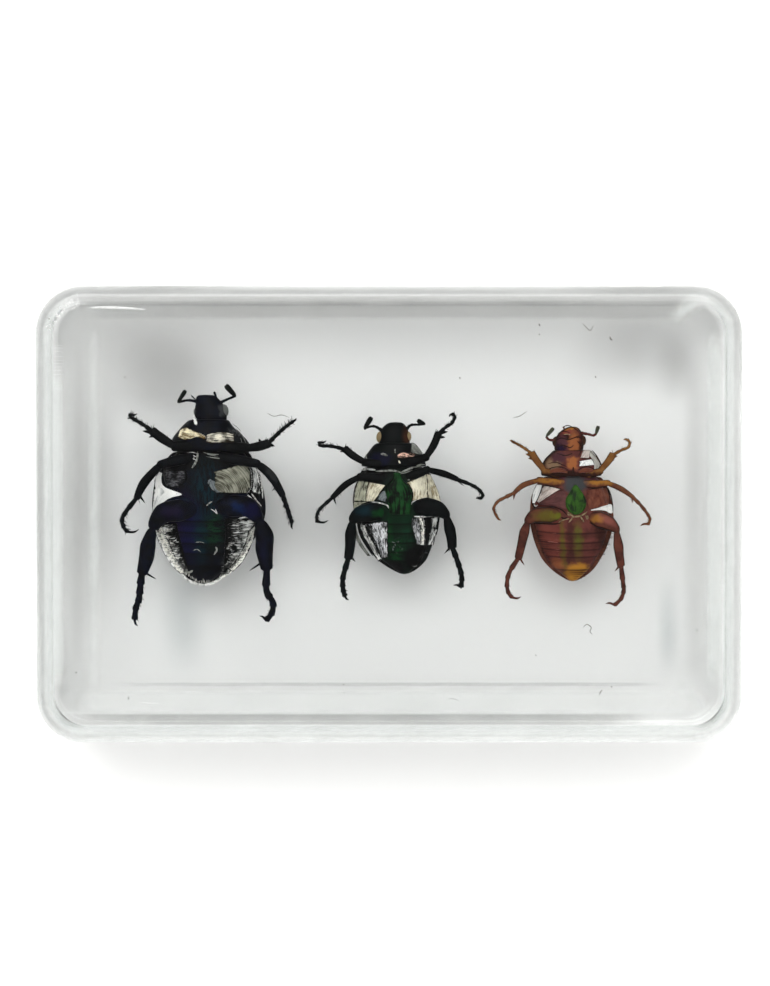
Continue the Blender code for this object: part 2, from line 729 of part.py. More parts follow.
def pocket(beetle):
    """A convex hollow round a beetle, which clears it on every side."""
    low = Vector([min(v.co[i] for v in beetle.data.vertices) for i in range(3)])
    high = Vector([max(v.co[i] for v in beetle.data.vertices) for i in range(3)])
    middle, half = (low + high) / 2, (high - low) / 2
    grow = [1 + POCKET_CLEARANCE * MM / half[i] for i in range(3)]
    mesh = bmesh.new()
    for vertex in beetle.data.vertices:
        away = vertex.co - middle
        mesh.verts.new(middle + Vector([away[i] * grow[i] for i in range(3)]))
    hull = bmesh.ops.convex_hull(mesh, input=mesh.verts)
    inner = [item for item in hull["geom_interior"] if isinstance(item, bmesh.types.BMVert)]
    bmesh.ops.delete(mesh, geom=inner, context="VERTS")
    flat = math.radians(POCKET_FLATTENING)
    bmesh.ops.dissolve_limit(mesh, angle_limit=flat, verts=mesh.verts, edges=mesh.edges)
    bmesh.ops.triangulate(mesh, faces=mesh.faces)
    bmesh.ops.recalc_face_normals(mesh, faces=mesh.faces)
    data = bpy.data.meshes.new(beetle.name + "_pocket")
    mesh.to_mesh(data)
    mesh.free()
    cutter = bpy.data.objects.new(beetle.name + "_pocket", data)
    bpy.context.collection.objects.link(cutter)
    cutter.hide_render = True
    cutter.display_type = "WIRE"
    return cutter


def block_outline(inset, z):
    """The rounded rectangle of the block at height z, drawn in by inset."""
    radius = CORNER_RADIUS - inset
    across, deep = BLOCK_LENGTH / 2 - CORNER_RADIUS, BLOCK_WIDTH / 2 - CORNER_RADIUS
    ring = []
    for corner, (sx, sy) in enumerate([(1, 1), (-1, 1), (-1, -1), (1, -1)]):
        for step in range(CORNER_STEPS + 1):
            angle = math.pi / 2 * (corner + step / CORNER_STEPS)
            x = sx * across + radius * math.cos(angle)
            y = sy * deep + radius * math.sin(angle)
            ring.append(Vector((x, y, z)))
    return ring


def block_half(name, flat_face, parting_face, material, cutters):
    """Half of the block from its flat outer face, with a rounded edge, to the parting face."""
    towards = math.copysign(1, parting_face - flat_face)
    rings = []
    for step in range(EDGE_STEPS + 1):
        angle = math.pi / 2 * step / EDGE_STEPS
        inset = EDGE_RADIUS * (1 - math.sin(angle))
        height = EDGE_RADIUS * (1 - math.cos(angle))
        rings.append(block_outline(inset, flat_face + towards * height))
    rings.append(block_outline(0, parting_face))
    half = closed_loft(name, rings)
    finish(half, material)
    for cutter in cutters:
        cut = half.modifiers.new(cutter.name, "BOOLEAN")
        cut.operation = "DIFFERENCE"
        cut.solver = "EXACT"
        cut.object = cutter
    return half


def main():
    clear_scene()
    beetles = [make_beetle(beetle) for beetle in BEETLES]
    cutters = [pocket(beetle) for beetle in beetles]
    resin = resin_material()
    lower_top = PARTING_HEIGHT - PARTING_GAP / 2
    upper_bottom = PARTING_HEIGHT + PARTING_GAP / 2
    block_half("resin_lower_half", 0.0, lower_top, resin, cutters)
    block_half("resin_upper_half", BLOCK_HEIGHT, upper_bottom, resin, cutters)


main()
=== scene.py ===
import math
import random

import bmesh
import bpy
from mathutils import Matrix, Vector
from mathutils.bvhtree import BVHTree


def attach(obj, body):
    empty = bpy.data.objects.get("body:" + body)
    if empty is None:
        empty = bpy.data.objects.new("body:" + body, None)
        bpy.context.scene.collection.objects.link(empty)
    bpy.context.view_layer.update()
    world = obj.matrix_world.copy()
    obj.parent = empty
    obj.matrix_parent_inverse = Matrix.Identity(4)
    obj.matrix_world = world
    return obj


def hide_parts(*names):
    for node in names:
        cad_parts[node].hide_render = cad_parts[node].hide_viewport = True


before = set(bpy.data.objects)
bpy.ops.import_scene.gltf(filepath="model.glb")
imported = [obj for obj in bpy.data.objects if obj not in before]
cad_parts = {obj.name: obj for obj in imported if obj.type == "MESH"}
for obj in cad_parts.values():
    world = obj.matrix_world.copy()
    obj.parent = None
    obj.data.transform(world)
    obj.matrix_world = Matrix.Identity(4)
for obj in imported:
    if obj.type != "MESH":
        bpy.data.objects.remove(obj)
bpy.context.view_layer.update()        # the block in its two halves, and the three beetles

mm = 0.001
up = Vector((0, 0, 1))
print("frame loaded:", ", ".join(sorted(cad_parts)))


def startPiece():
    if bpy.context.object and bpy.context.object.mode != "OBJECT":
        bpy.ops.object.mode_set(mode="OBJECT")
    bpy.ops.object.select_all(action="DESELECT")


def makeActive(*pieces):
    startPiece()
    for piece in pieces:
        piece.select_set(True)
    bpy.context.view_layer.objects.active = pieces[0]


def joinPieces(name, pieces):
    makeActive(*pieces)
    if len(pieces) > 1:
        bpy.ops.object.join()
    bpy.context.object.name = name
    return bpy.context.object


def pick(test):
    # in edit mode, selects the points that pass the test and nothing else
    mesh = bmesh.from_edit_mesh(bpy.context.object.data)
    for part in (mesh.faces, mesh.edges, mesh.verts):
        for item in part:
            item.select = False
    for vertex in mesh.verts:
        vertex.select = test(vertex.co)
    mesh.select_flush(True)
    bmesh.update_edit_mesh(bpy.context.object.data)


def pickEdges(test):
    mesh = bmesh.from_edit_mesh(bpy.context.object.data)
    for edge in mesh.edges:
        edge.select_set(test(edge))
    bmesh.update_edit_mesh(bpy.context.object.data)


def applyModifier(piece, kind, **settings):
    made = piece.modifiers.new(kind, kind)
    for name, value in settings.items():
        setattr(made, name, value)
    makeActive(piece)
    bpy.ops.object.modifier_apply(modifier=made.name)


def closeUp(piece):
    # outward faces, all smooth
    makeActive(piece)
    bpy.ops.object.mode_set(mode="EDIT")
    bpy.ops.mesh.select_all(action="SELECT")
    bpy.ops.mesh.normals_make_consistent(inside=False)
    bpy.ops.object.mode_set(mode="OBJECT")
    bpy.ops.object.shade_smooth()


def settle(piece, place):
    # from millimetres round the beetle's own middle to its place in the block
    piece.scale = (mm, mm, mm)
    piece.location = Vector(place) * mm
    makeActive(piece)
    bpy.ops.object.transform_apply()


def numbers(text):
    # "1 2, 3 4" as the pairs (1, 2) and (3, 4), also with three numbers and more
    return [tuple(float(number) for number in point.split()) for point in text.split(",")]


def flatRoute(text, height=0.0):
    return [Vector((x, y, height)) for x, y in numbers(text)]


def smoothPoint(points, t):
    # a point on a soft curve through the points, t from 0 to 1
    spans = len(points) - 1
    along = min(max(t, 0.0), 1.0) * spans
    i = min(int(along), spans - 1)
    u = along - i
    p1, p2 = points[i], points[i + 1]
    p0 = points[i - 1] if i > 0 else p1 * 2 - p2
    p3 = points[i + 2] if i + 2 <= spans else p2 * 2 - p1
    bend = (p0 * 2 - p1 * 5 + p2 * 4 - p3) * u * u + (p1 * 3 - p0 - p2 * 3 + p3) * u * u * u
    return (p1 * 2 + (p2 - p0) * u + bend) * 0.5


def between(values, t):
    along = min(max(t, 0.0), 1.0) * (len(values) - 1)
    i = min(int(along), len(values) - 2)
    return values[i] + (values[i + 1] - values[i]) * (along - i)


def arch(t, top, reach):
    # height along a body as a share of its full height
    return math.sqrt(max(1 - ((t - top) / reach) ** 2, 0.0))


build = {
    "bodySides": 40, "headSides": 32,
    "wingSections": 30, "bellySections": 34, "chestSections": 14, "headSections": 16,
    "bellyFullness": 2.4, "backFullness": 2.1,
    "bellyArch": (0.42, 0.64), "backArch": (0.45, 0.6),
    "chestBellyArch": (0.9, 1.5), "chestBackArch": (0.9, 1.15),
    "headBellyArch": (1.0, 1.15), "headBackArch": (1.0, 1.15),
    "tailShare": 0.45,
    "rimWidth": 0.75, "rimCrest": 0.26,
    "plateStep": 0.14, "plateGap": 0.07,
    "femurDepth": 0.62, "tarsusDepth": 0.8,
    # thigh past the knee, shin before the knee and past the ankle, foot before the ankle
    "overlaps": (0.2, 0.45, 0.15, 0.3),
    "clawSpread": 0.3, "clawSwing": 0.14, "clawWidths": (0.42, 0.34, 0.06),
    "tooth": 0.34, "spur": 0.18, "footGain": 1.12,
    "femurSteps": 22, "tibiaSteps": 20, "footSteps": 36, "clawSteps": 9,
    # hairs: where they start and how far they go along a leg part, share and length on the outer side,
    # shortest and how much longer, lean and how much more, and how much thinner at the tip
    "hairPlaces": (0.15, 0.82), "hairOuter": (0.35, 0.75), "hairLengths": (0.7, 0.5), "hairLean": (0.4, 0.7),
    "hairRise": 0.5, "hairTaper": 0.75,
    # antennae: height in the head, then over that at the root, the club's root and its tip
    "antennaHeight": 0.25, "antennaRise": (-0.1, 0.3, 0.6),
    "stalkWidths": (0.6, 0.42, 0.45), "stalkSteps": 25,
    "clubWidths": (0.4, 0.6, 0.65, 0.5), "clubSteps": 14, "leafSpread": 0.24, "leafRise": 0.1,
    "palpTaper": 0.8, "palpSteps": 10,
    "eyeShare": 0.9, "eyeShape": (0.85, 1.2, 1.0), "eyeHeight": 0.05,
    # share of the belly height at which a leg lies at its hip, mid femur, knee, ankle and tip
    "legRise": {"front": (0.5, 0.8, 0.45, 0.3, 0.4), "mid": (0.6, 0.95, 0.66, 0.4, 0.25),
                "hind": (0.7, 1.0, 0.75, 0.4, 0.2)},
}


def growBody(name, sections, sides):
    # a ring extruded section by section: y, left, right, belly height and back height from front to back
    startPiece()
    bpy.ops.mesh.primitive_circle_add(vertices=sides, radius=1, fill_type="NGON", rotation=(math.pi / 2, 0, 0))
    body = bpy.context.object
    body.name = name
    bpy.ops.object.transform_apply()
    y, left, right, belly, back = sections[0]
    middle, half = (left + right) / 2, (right - left) / 2
    for vertex in body.data.vertices:
        angle = math.atan2(vertex.co.z, vertex.co.x)
        upper = vertex.co.z > 0
        power = 2 / (build["bellyFullness"] if upper else build["backFullness"])
        across, height = (math.copysign(abs(part) ** power, part) for part in (math.cos(angle), math.sin(angle)))
        vertex.co = (middle + half * across, y, height * (belly if upper else back))
    bpy.ops.object.mode_set(mode="EDIT")
    bpy.ops.mesh.select_all(action="SELECT")
    for before, after in zip(sections, sections[1:]):
        y0, left0, right0, belly0, back0 = before
        y1, left1, right1, belly1, back1 = after
        middle = (left1 + right1) / 2
        shift = (middle - (left0 + right0) / 2, y1 - y0, 0)
        bpy.ops.mesh.extrude_region_move(TRANSFORM_OT_translate={"value": shift})
        sizes = ((((right1 - left1) / (right0 - left0), 1, 1), None), ((1, 1, belly1 / belly0), 1),
                 ((1, 1, back1 / back0), -1))       # the whole ring, then its upper and its lower half
        for size, side in sizes:
            if side:
                pick(lambda co: abs(co.y - y1) < 1e-4 and co.z * side > 1e-6)
            bpy.ops.transform.resize(value=size, center_override=(middle, y1, 0))
        pick(lambda co: abs(co.y - y1) < 1e-4)
    closeUp(body)
    return body


def outlineAt(outline, y):
    # left and right edge on a soft curve through the outline's points
    last = len(outline) - 2
    i = next((i for i in range(last) if y >= outline[i + 1][0]), last)
    u = (outline[i][0] - y) / (outline[i][0] - outline[i + 1][0])
    found = smoothPoint([Vector(point) for point in outline], (i + min(max(u, 0), 1)) / (last + 1))
    return found.y, found.z


def bodyHeight(beetle, y, key):
    # belly or back height of the hind body at y, slimmer towards the tail
    outline = beetle["hindBody"]
    front, rear = outline[0][0], outline[-1][0]
    widest = max(right - left for _, left, right in outline)
    left, right = outlineAt(outline, y)
    slim = min(1.0, math.sqrt(max(right - left, 0.1) / widest / build["tailShare"]))
    return beetle[key] * arch((front - y) / (front - rear), *build[key + "Arch"]) * slim


def hindSections(beetle, inset, count, belly=True):
    outline, sutures = beetle["hindBody"], beetle["sutures"]
    front, rear = outline[0][0], outline[-1][0]
    places = [front + (rear - front) * i / (count - 1) for i in range(count)]
    if belly:
        gap = build["plateGap"]
        places = [y for y in places if all(abs(y - cut) > 3 * gap for cut in sutures)]
        places += [cut + shift for cut in sutures for shift in (gap, -gap)]
    sections = []
    for y in sorted(places, reverse=True):
        left, right = outlineAt(outline, y)
        drawn = min(inset, (right - left) / 2 * 0.3)
        height, back = bodyHeight(beetle, y, "belly"), bodyHeight(beetle, y, "back")
        if belly:
            # each plate rises towards its rear edge and stands proud of the next one
            passed = [cut for cut in [front] + sutures if y < cut]
            if len(passed) > 1:
                following = [cut for cut in sutures if cut < y] or [rear]
                share = (passed[-1] - y) / (passed[-1] - following[0])
                height -= build["plateStep"] * (1 - share) * min(1, height)
            back = min(back, 1.2) * 0.8
        else:
            height = max(height * build["rimCrest"], 0.25)
        sections.append((y, left + drawn, right - drawn, max(height, 0.2), max(back, 0.2)))
    return sections


def partSections(beetle, key):
    outline, count = beetle[key], build[key + "Sections"]
    front, rear = outline[0][0], outline[-1][0]
    sections = []
    for i in range(count):
        t = i / (count - 1)
        y = front + (rear - front) * t
        heights = [beetle[key + side] * arch(t, *build[f"{key}{side}Arch"]) for side in ("Belly", "Back")]
        sections.append((y, *outlineAt(outline, y), *heights))
    return sections


def growLimbs(name, routes, depth, corners):
    # each route is a list of (point, half width), swept with a flattened oval
    startPiece()
    bpy.ops.curve.primitive_bezier_circle_add(radius=1)
    oval = bpy.context.object
    oval.data.resolution_u = corners
    oval.scale = (1, depth, 1)
    bpy.ops.object.transform_apply()
    startPiece()
    bpy.ops.curve.primitive_nurbs_path_add()
    limbs = bpy.context.object
    limbs.name = name
    data = limbs.data
    data.splines.clear()
    data.dimensions = "3D"
    data.twist_mode = "Z_UP"
    data.bevel_mode = "OBJECT"
    data.bevel_object = oval
    data.use_fill_caps = True
    for route in routes:
        spline = data.splines.new("POLY")
        spline.points.add(len(route) - 1)
        for point, (place, half) in zip(spline.points, route):
            point.co = (*place, 1)
            point.radius = half
    makeActive(limbs)
    bpy.ops.object.convert(target="MESH")
    bpy.data.objects.remove(oval, do_unlink=True)
    closeUp(limbs)
    return limbs


def swept(points, widths, count, shape=lambda t: 1.0):
    shares = [i / (count - 1) for i in range(count)]
    return [(smoothPoint(points, t), between(widths, t) / 2 * shape(t)) for t in shares]


def raisedRoute(points, start, end):
    last = len(points) - 1
    return [Vector((x, y, start + (end - start) * i / last)) for i, (x, y) in enumerate(points)]


def roundEnds(t, front, rear):
    # narrows both ends of a leg part to a soft tip
    near = min(t / front, (1 - t) / rear, 1.0)
    return max(math.sqrt(max(1 - (1 - near) ** 2, 0)), 0.12)


def tarsusShape(t):
    # five joints, each wider at its end
    along = (t * 5) % 1 if t < 1 else 1
    return 0.76 + 0.38 * along ** 1.5 - (0.22 if along > 0.93 else 0)


def legRoutes(beetle, shape, rises):
    hip, middle, knee, ankle, tip = (share * beetle["belly"] for share in rises)
    femur = raisedRoute(shape["femur"], middle, knee)
    femur[0].z = hip
    tibia = raisedRoute([femur[-1].xy] + shape["tibia"], knee, ankle)
    tarsus = raisedRoute([tibia[-1].xy] + shape["tarsus"], ankle, tip)
    pastKnee, beforeKnee, pastAnkle, beforeAnkle = build["overlaps"]
    femur[-1] += (femur[-1] - femur[-2]).normalized() * pastKnee
    tibia[-1] += (tibia[-1] - tibia[-2]).normalized() * pastAnkle
    tibia[0] += (femur[-2] - femur[-1]).normalized() * beforeKnee
    tarsus[0] += (tibia[-2] - tibia[-1]).normalized() * beforeAnkle
    return femur, tibia, tarsus, ankle, tip


def growBristles(route, count, length, thickness, chance, inner):
    # stiff hairs off both sides of a leg part, longer on its inner side
    start, extent = build["hairPlaces"]
    outerShare, outerLength = build["hairOuter"]
    shortest, longer = build["hairLengths"]
    lean, moreLean = build["hairLean"]
    hairs = []
    for i in range(count):
        t = start + extent * (i + chance.random()) / count
        root = smoothPoint(route, t)
        along = (smoothPoint(route, min(t + 0.05, 1)) - smoothPoint(route, t - 0.05)).normalized()
        outward = chance.random() < outerShare
        side = along.cross(up) * (inner if not outward else -inner)
        reach = length * (shortest + longer * chance.random()) * (outerLength if outward else 1.0)
        aim = side + along * (lean + moreLean * chance.random()) + up * (chance.random() - 0.5) * build["hairRise"]
        aim.normalize()
        hairs.append([(root + aim * reach * u, thickness / 2 * (1 - u * build["hairTaper"]))
                      for u in (0.0, 0.6, 1.0)])
    return hairs


def growLegs(beetle):
    # one piece for each pair of legs, with its teeth, feet, claws and bristles
    chance = random.Random(beetle["name"])
    count, length, thickness = beetle["bristles"]
    pairs = []
    for pair in ("front", "mid", "hind"):
        thick, thin, feet, hairs = [], [], [], []
        femurWidths, tibiaWidths, footWidths = (beetle[widths][pair] for widths in
                                                ("femurWidths", "tibiaWidths", "tarsusWidths"))
        taper = beetle.get("femurTaper", 0.12) if pair == "hind" else 0.12
        for place in ("left", "right"):
            shape = beetle["legs"][f"{pair}_{place}"]
            femur, tibia, tarsus, ankle, tip = legRoutes(beetle, shape, build["legRise"][pair])
            thick.append(swept(femur, femurWidths, build["femurSteps"], lambda t: roundEnds(t, taper, 0.1)))
            thick.append(swept(tibia, shape["tibiaWidths"] or tibiaWidths, build["tibiaSteps"],
                               lambda t: roundEnds(t, 0.1, 0.05)))
            feet.append(swept(tarsus, [width * build["footGain"] for width in footWidths], build["footSteps"],
                              tarsusShape))
            end, hook = tarsus[-1], Vector((*shape["claw"], tip))
            for side in (-1, 1):
                spread = up * side * build["clawSpread"]
                swing = (hook - end).cross(up) * build["clawSwing"]
                bend = end.lerp(hook, 0.55) + spread * 0.7 + swing
                claw = [end.lerp(bend, -0.2), bend, hook + spread]
                feet.append(swept(claw, build["clawWidths"], build["clawSteps"]))
            width = build["tooth" if pair == "front" else "spur"]
            for root, point in shape["teeth"]:
                base, peak = Vector((*root, ankle + 0.03)), Vector((*point, ankle - 0.1))
                thin.append([(base.lerp(peak, u), width * (1 - u) ** 0.7 + 0.03) for u in (0, 0.25, 0.5, 0.75, 1)])
            inner = 1 if (place == "left") == (pair == "front") else -1
            hairs += growBristles(tibia, count, length * 1.2, thickness, chance, inner)
            hairs += growBristles(tarsus, count + 4, length, thickness, chance, inner)
        name = f"{beetle['name']}_{pair}_legs"
        pieces = [growLimbs(name, thick, build["femurDepth"], 4), growLimbs("teeth", thin, 0.7, 2),
                  growLimbs("feet", feet, build["tarsusDepth"], 3), growLimbs("hairs", hairs, 1.0, 1)]
        pairs.append(joinPieces(name, pieces))
    return pairs


def growAntennae(beetle):
    height = beetle["headBelly"] * build["antennaHeight"]
    root, joint, tip = (height + rise for rise in build["antennaRise"])
    stalks, clubs = [], []
    for stalk, club, width in beetle["antennae"]:
        route = raisedRoute(numbers(stalk), root, joint)
        stalks.append(swept(route, build["stalkWidths"], build["stalkSteps"],
                            lambda t: 0.75 + 0.35 * ((t * 7) % 1)))      # seven joints, each wider at its end
        club = raisedRoute(numbers(club), joint, tip)
        side = (club[1] - club[0]).normalized().cross(up)
        for leaf in (-1, 0, 1):     # three leaves laid together
            spread, rise = side * leaf * width * build["leafSpread"], up * (build["leafRise"] * leaf)
            fan = [point + spread * u + rise for point, u in zip(club, (0.4, 1.0))]
            clubs.append(swept(fan, [width * share for share in build["clubWidths"]], build["clubSteps"],
                               lambda t: roundEnds(t, 0.2, 0.2)))
    for palp, width in beetle.get("palps", ()):
        route = raisedRoute(numbers(palp), height, height + 0.1)
        stalks.append(swept(route, (width * build["palpTaper"], width), build["palpSteps"],
                            lambda t: roundEnds(t, 0.1, 0.2)))
    name = beetle["name"]
    return growLimbs(name + "_stalks", stalks, 0.9, 2), growLimbs(name + "_clubs", clubs, 1.3, 3)


# all that is laid on the bodies
laid = {
    "plateCells": (14, 30), "plateThickness": 0.08,
    "lineLift": 0.03, "lineStep": 0.22, "lineSteps": 6, "lineEnds": 0.3,
    # strokes: lift, how far off the edge they start, shortest length, lean, waver, and the width along them
    "strokeLift": 0.09, "strokeStart": 0.15, "strokeShortest": 0.2, "strokeLean": 0.05, "strokeWaver": 0.008,
    "strokeWidths": ((0.0, 0.6), (0.3, 1.0), (0.65, 0.7), (1.0, 0.15)),
}


def bodySurface(bodies):
    places, faces = [], []
    for body in bodies:
        start = len(places)
        places += [vertex.co.copy() for vertex in body.data.vertices]
        faces += [[start + i for i in face.vertices] for face in body.data.polygons]
    return BVHTree.FromPolygons(places, faces)


def heightAt(surface, x, y, side=1):
    hit = surface.ray_cast(Vector((x, y, 20 * side)), up * -side)[0]
    if hit is None:
        hit = surface.find_nearest(Vector((x, y, 0.5 * side)))[0]
    return hit.z


def laySheet(cells, place, thickness, side=1, wave=0.0):
    # a thin closed sheet; place gives the point at a share across and along it
    startPiece()
    bpy.ops.mesh.primitive_grid_add(x_subdivisions=cells[0], y_subdivisions=cells[1], size=1, calc_uvs=True)
    sheet = bpy.context.object
    for vertex in sheet.data.vertices:
        vertex.co = place(vertex.co.x + 0.5, vertex.co.y + 0.5)
        vertex.co.z += wave * math.sin(vertex.co.x * 0.6) * math.cos(vertex.co.y * 0.5)
    applyModifier(sheet, "SOLIDIFY", thickness=thickness, offset=-side)
    closeUp(sheet)
    return sheet


def layPlate(surface, first, second, lift, dome, cells=laid["plateCells"], side=1):
    # a patch between two soft edges, draped on the belly or the back; its UVs run across and along it
    def place(u, v):
        under = smoothPoint(first, v).lerp(smoothPoint(second, v), u)
        rise = min(4 * u * (1 - u), 1) ** 0.5 * min(4 * v * (1 - v), 1) ** 0.5
        return under.x, under.y, heightAt(surface, under.x, under.y, side) + (lift + dome * rise) * side
    return laySheet(cells, place, max(laid["plateThickness"], lift), side)


def layLine(surface, route, width):
    # a thin tapering line on the body
    route = flatRoute(route)
    length = sum((b - a).length for a, b in zip(route, route[1:]))
    ends = laid["lineEnds"]
    line = swept(route, (width, width), max(laid["lineSteps"], int(length / laid["lineStep"])),
                 lambda t: max(roundEnds(t, ends, ends), 0.25))
    for place, _ in line:
        place.z = heightAt(surface, place.x, place.y) + laid["lineLift"]
    return line


def layStrokes(surface, first, second, count, reach, width, chance):
    # fine creases that start at the second edge and run in towards the first one
    first, second, shortest = flatRoute(first), flatRoute(second), laid["strokeShortest"]
    routes = []
    for i in range(count):
        v = (i + chance.random()) / count
        start = 1 - laid["strokeStart"] * chance.random()
        length = reach * (shortest + (1 - shortest) * chance.random() ** 1.5)
        lean, half = laid["strokeLean"] * (chance.random() - 0.5), width / 2 * (0.5 + 0.7 * chance.random())
        route = []
        for s, thick in laid["strokeWidths"]:
            along = v + lean * s + laid["strokeWaver"] * (chance.random() - 0.5)
            place = smoothPoint(first, along).lerp(smoothPoint(second, along), start - length * s)
            place.z = heightAt(surface, place.x, place.y) + laid["strokeLift"]
            route.append((place, half * thick))
        routes.append(route)
    return routes


def feed(tree, node, values):
    # a node's socket is linked in, and a plain value is set
    for socket, value in values.items():
        if isinstance(value, bpy.types.NodeSocket):
            tree.links.new(value, node.inputs[socket])
        else:
            node.inputs[socket].default_value = value
    return node


def addNode(tree, kind, values, **settings):
    node = tree.nodes.new("ShaderNode" + kind)
    for name, value in settings.items():
        setattr(node, name, value)
    return feed(tree, node, values)


def startMaterial(name):
    material = bpy.data.materials.new(name)
    material.use_nodes = True
    return material, material.node_tree, material.node_tree.nodes["Principled BSDF"]


def startGroup(name, inputs, outputs=("Mask",), kind="Float"):
    # inputs without a value are vectors
    tree = bpy.data.node_groups.new(name, "ShaderNodeTree")
    for label, value in inputs.items():
        shape = "NodeSocketVector" if value is None else "NodeSocketFloat"
        socket = tree.interface.new_socket(label, in_out="INPUT", socket_type=shape)
        if value is not None:
            socket.default_value = value
    for label in outputs:
        tree.interface.new_socket(label, in_out="OUTPUT", socket_type="NodeSocket" + kind)
    return tree, tree.nodes.new("NodeGroupInput").outputs, tree.nodes.new("NodeGroupOutput")


def calc(tree, operation, a, b=0.0):
    return addNode(tree, "Math", {0: a, 1: b}, operation=operation).outputs[0]


def plus(tree, a, b):
    return calc(tree, "ADD", a, b)


def minus(tree, a, b):
    return calc(tree, "SUBTRACT", a, b)


def times(tree, a, b):
    return calc(tree, "MULTIPLY", a, b)


def vectorMath(tree, operation, a, b=(0, 0, 0)):
    node = addNode(tree, "VectorMath", {0: a, "Scale" if operation == "SCALE" else 1: b}, operation=operation)
    return node.outputs["Value" if operation in ("LENGTH", "DOT_PRODUCT") else 0]


def split(tree, place):
    return addNode(tree, "SeparateXYZ", {0: place}).outputs


def turned(tree, place, degrees):
    # x and y of a place turned round the upright axis
    angle = calc(tree, "RADIANS", degrees)
    node = addNode(tree, "VectorRotate", {"Vector": place, "Angle": angle}, rotation_type="Z_AXIS", invert=True)
    return split(tree, node.outputs[0])


def noise(tree, place, scale, detail, roughness=0.5, distortion=0.0):
    return addNode(tree, "TexNoise", {"Vector": place, "Scale": scale, "Detail": detail, "Roughness": roughness,
                                      "Distortion": distortion}).outputs


def mixColour(tree, share, a, b):
    return addNode(tree, "Mix", {0: share, 6: a, 7: b}, data_type="RGBA").outputs[2]


def mixNumber(tree, share, a, b):
    return addNode(tree, "Mix", {0: share, 2: a, 3: b}, data_type="FLOAT").outputs[0]


def softStep(tree, value, low, high, start=0.0, end=1.0):
    return addNode(tree, "MapRange", {"Value": value, "From Min": low, "From Max": high, "To Min": start,
                                      "To Max": end}, interpolation_type="SMOOTHSTEP").outputs[0]


def toEdge(tree, part):
    # how far a share across or along lies from the nearer edge
    return calc(tree, "MINIMUM", part, minus(tree, 1.0, part))


def relief(tree, height, strength, distance):
    return addNode(tree, "Bump", {"Height": height, "Strength": strength, "Distance": distance * mm}).outputs[0]


def coordinates(tree, kind):
    return addNode(tree, "TexCoord", {}).outputs[kind]


def paint(colour, share=1.0):
    return (*[part * share for part in colour], 1)


def makePlaceGroup():
    # a point in a beetle's own millimetres, plain and with a little waver
    tree, given, out = startGroup("beetle place", {"Middle": None}, ("Plain", "Wavering"), "Vector")
    moved = vectorMath(tree, "SUBTRACT", coordinates(tree, "Object"), given["Middle"])
    local = vectorMath(tree, "SCALE", moved, 1 / mm)
    waver = vectorMath(tree, "SUBTRACT", noise(tree, local, 1.3, 4.0)["Color"], (0.5, 0.5, 0.5))
    waver = vectorMath(tree, "SCALE", waver, 1.3)
    feed(tree, out, {"Plain": local, "Wavering": vectorMath(tree, "ADD", local, waver)})
    return tree


def makePatchGroup():
    # one soft-edged patch on the beetle, between an oval and a rectangle
    tree, given, out = startGroup("shell patch", {"Place": None, "X": 0.0, "Y": 0.0, "Width": 1.0, "Length": 1.0,
                                                  "Turn": 0.0, "Edge": 0.2, "Share": 1.0})
    centre = addNode(tree, "CombineXYZ", {"X": given["X"], "Y": given["Y"]}).outputs[0]
    own = turned(tree, vectorMath(tree, "SUBTRACT", given["Place"], centre), given["Turn"])
    power = 2.4
    parts = [calc(tree, "POWER", calc(tree, "ABSOLUTE", calc(tree, "DIVIDE", own[axis], given[size])), power)
             for axis, size in (("X", "Width"), ("Y", "Length"))]
    far = calc(tree, "POWER", plus(tree, *parts), 1 / power)
    outside = softStep(tree, far, minus(tree, 1.0, given["Edge"]), plus(tree, 1.0, given["Edge"]))
    feed(tree, out, {"Mask": times(tree, minus(tree, 1.0, outside), given["Share"])})
    return tree


def makeStreakGroup():
    # broken streaks: fine one way, long the other
    tree, given, out = startGroup("shell streaks", {"Place": None, "Turn": 0.0, "Across": 3.0, "Along": 0.8,
                                                    "Share": 0.5, "Soft": 0.06, "Bend": 0.5})
    own = turned(tree, given["Place"], given["Turn"])
    stretched = addNode(tree, "CombineXYZ", {"X": times(tree, own["X"], given["Across"]),
                                             "Y": times(tree, own["Y"], given["Along"])}).outputs[0]
    streaks = noise(tree, stretched, 1.0, 3.0, 0.6, given["Bend"])[0]
    low, high = minus(tree, given["Share"], given["Soft"]), plus(tree, given["Share"], given["Soft"])
    feed(tree, out, {"Mask": softStep(tree, streaks, low, high)})
    return tree


def makeGrainGroup():
    # punctures and fine wrinkles of a beetle's shell
    tree, given, out = startGroup("shell grain", {"Place": None, "Pits": 4.0, "Wrinkles": 7.0}, ("Height", "Tone"))
    place = given["Place"]
    pits = addNode(tree, "TexVoronoi", {"Vector": place, "Scale": given["Pits"]}).outputs["Distance"]
    dips = times(tree, softStep(tree, pits, 0.05, 0.35), 0.6)
    feed(tree, out, {"Height": plus(tree, dips, noise(tree, place, given["Wrinkles"], 5.0)[0]),
                     "Tone": softStep(tree, noise(tree, place, 0.7, 4.0, 0.6)[0], 0.35, 0.65)})
    return tree


def makeSeamGroup():
    # a thin dark line across the belly where two plates meet, its ends bent forwards a little
    tree, given, out = startGroup("belly seam", {"Place": None, "Y": 0.0, "Bend": 0.01, "Width": 0.15})
    own = split(tree, given["Place"])
    sag = times(tree, calc(tree, "POWER", calc(tree, "ABSOLUTE", own["X"]), 2.0), given["Bend"])
    off = minus(tree, minus(tree, own["Y"], given["Y"]), sag)
    near = calc(tree, "DIVIDE", calc(tree, "ABSOLUTE", off), given["Width"])
    feed(tree, out, {"Mask": minus(tree, 1.0, softStep(tree, near, 0.2, 1.2))})
    return tree


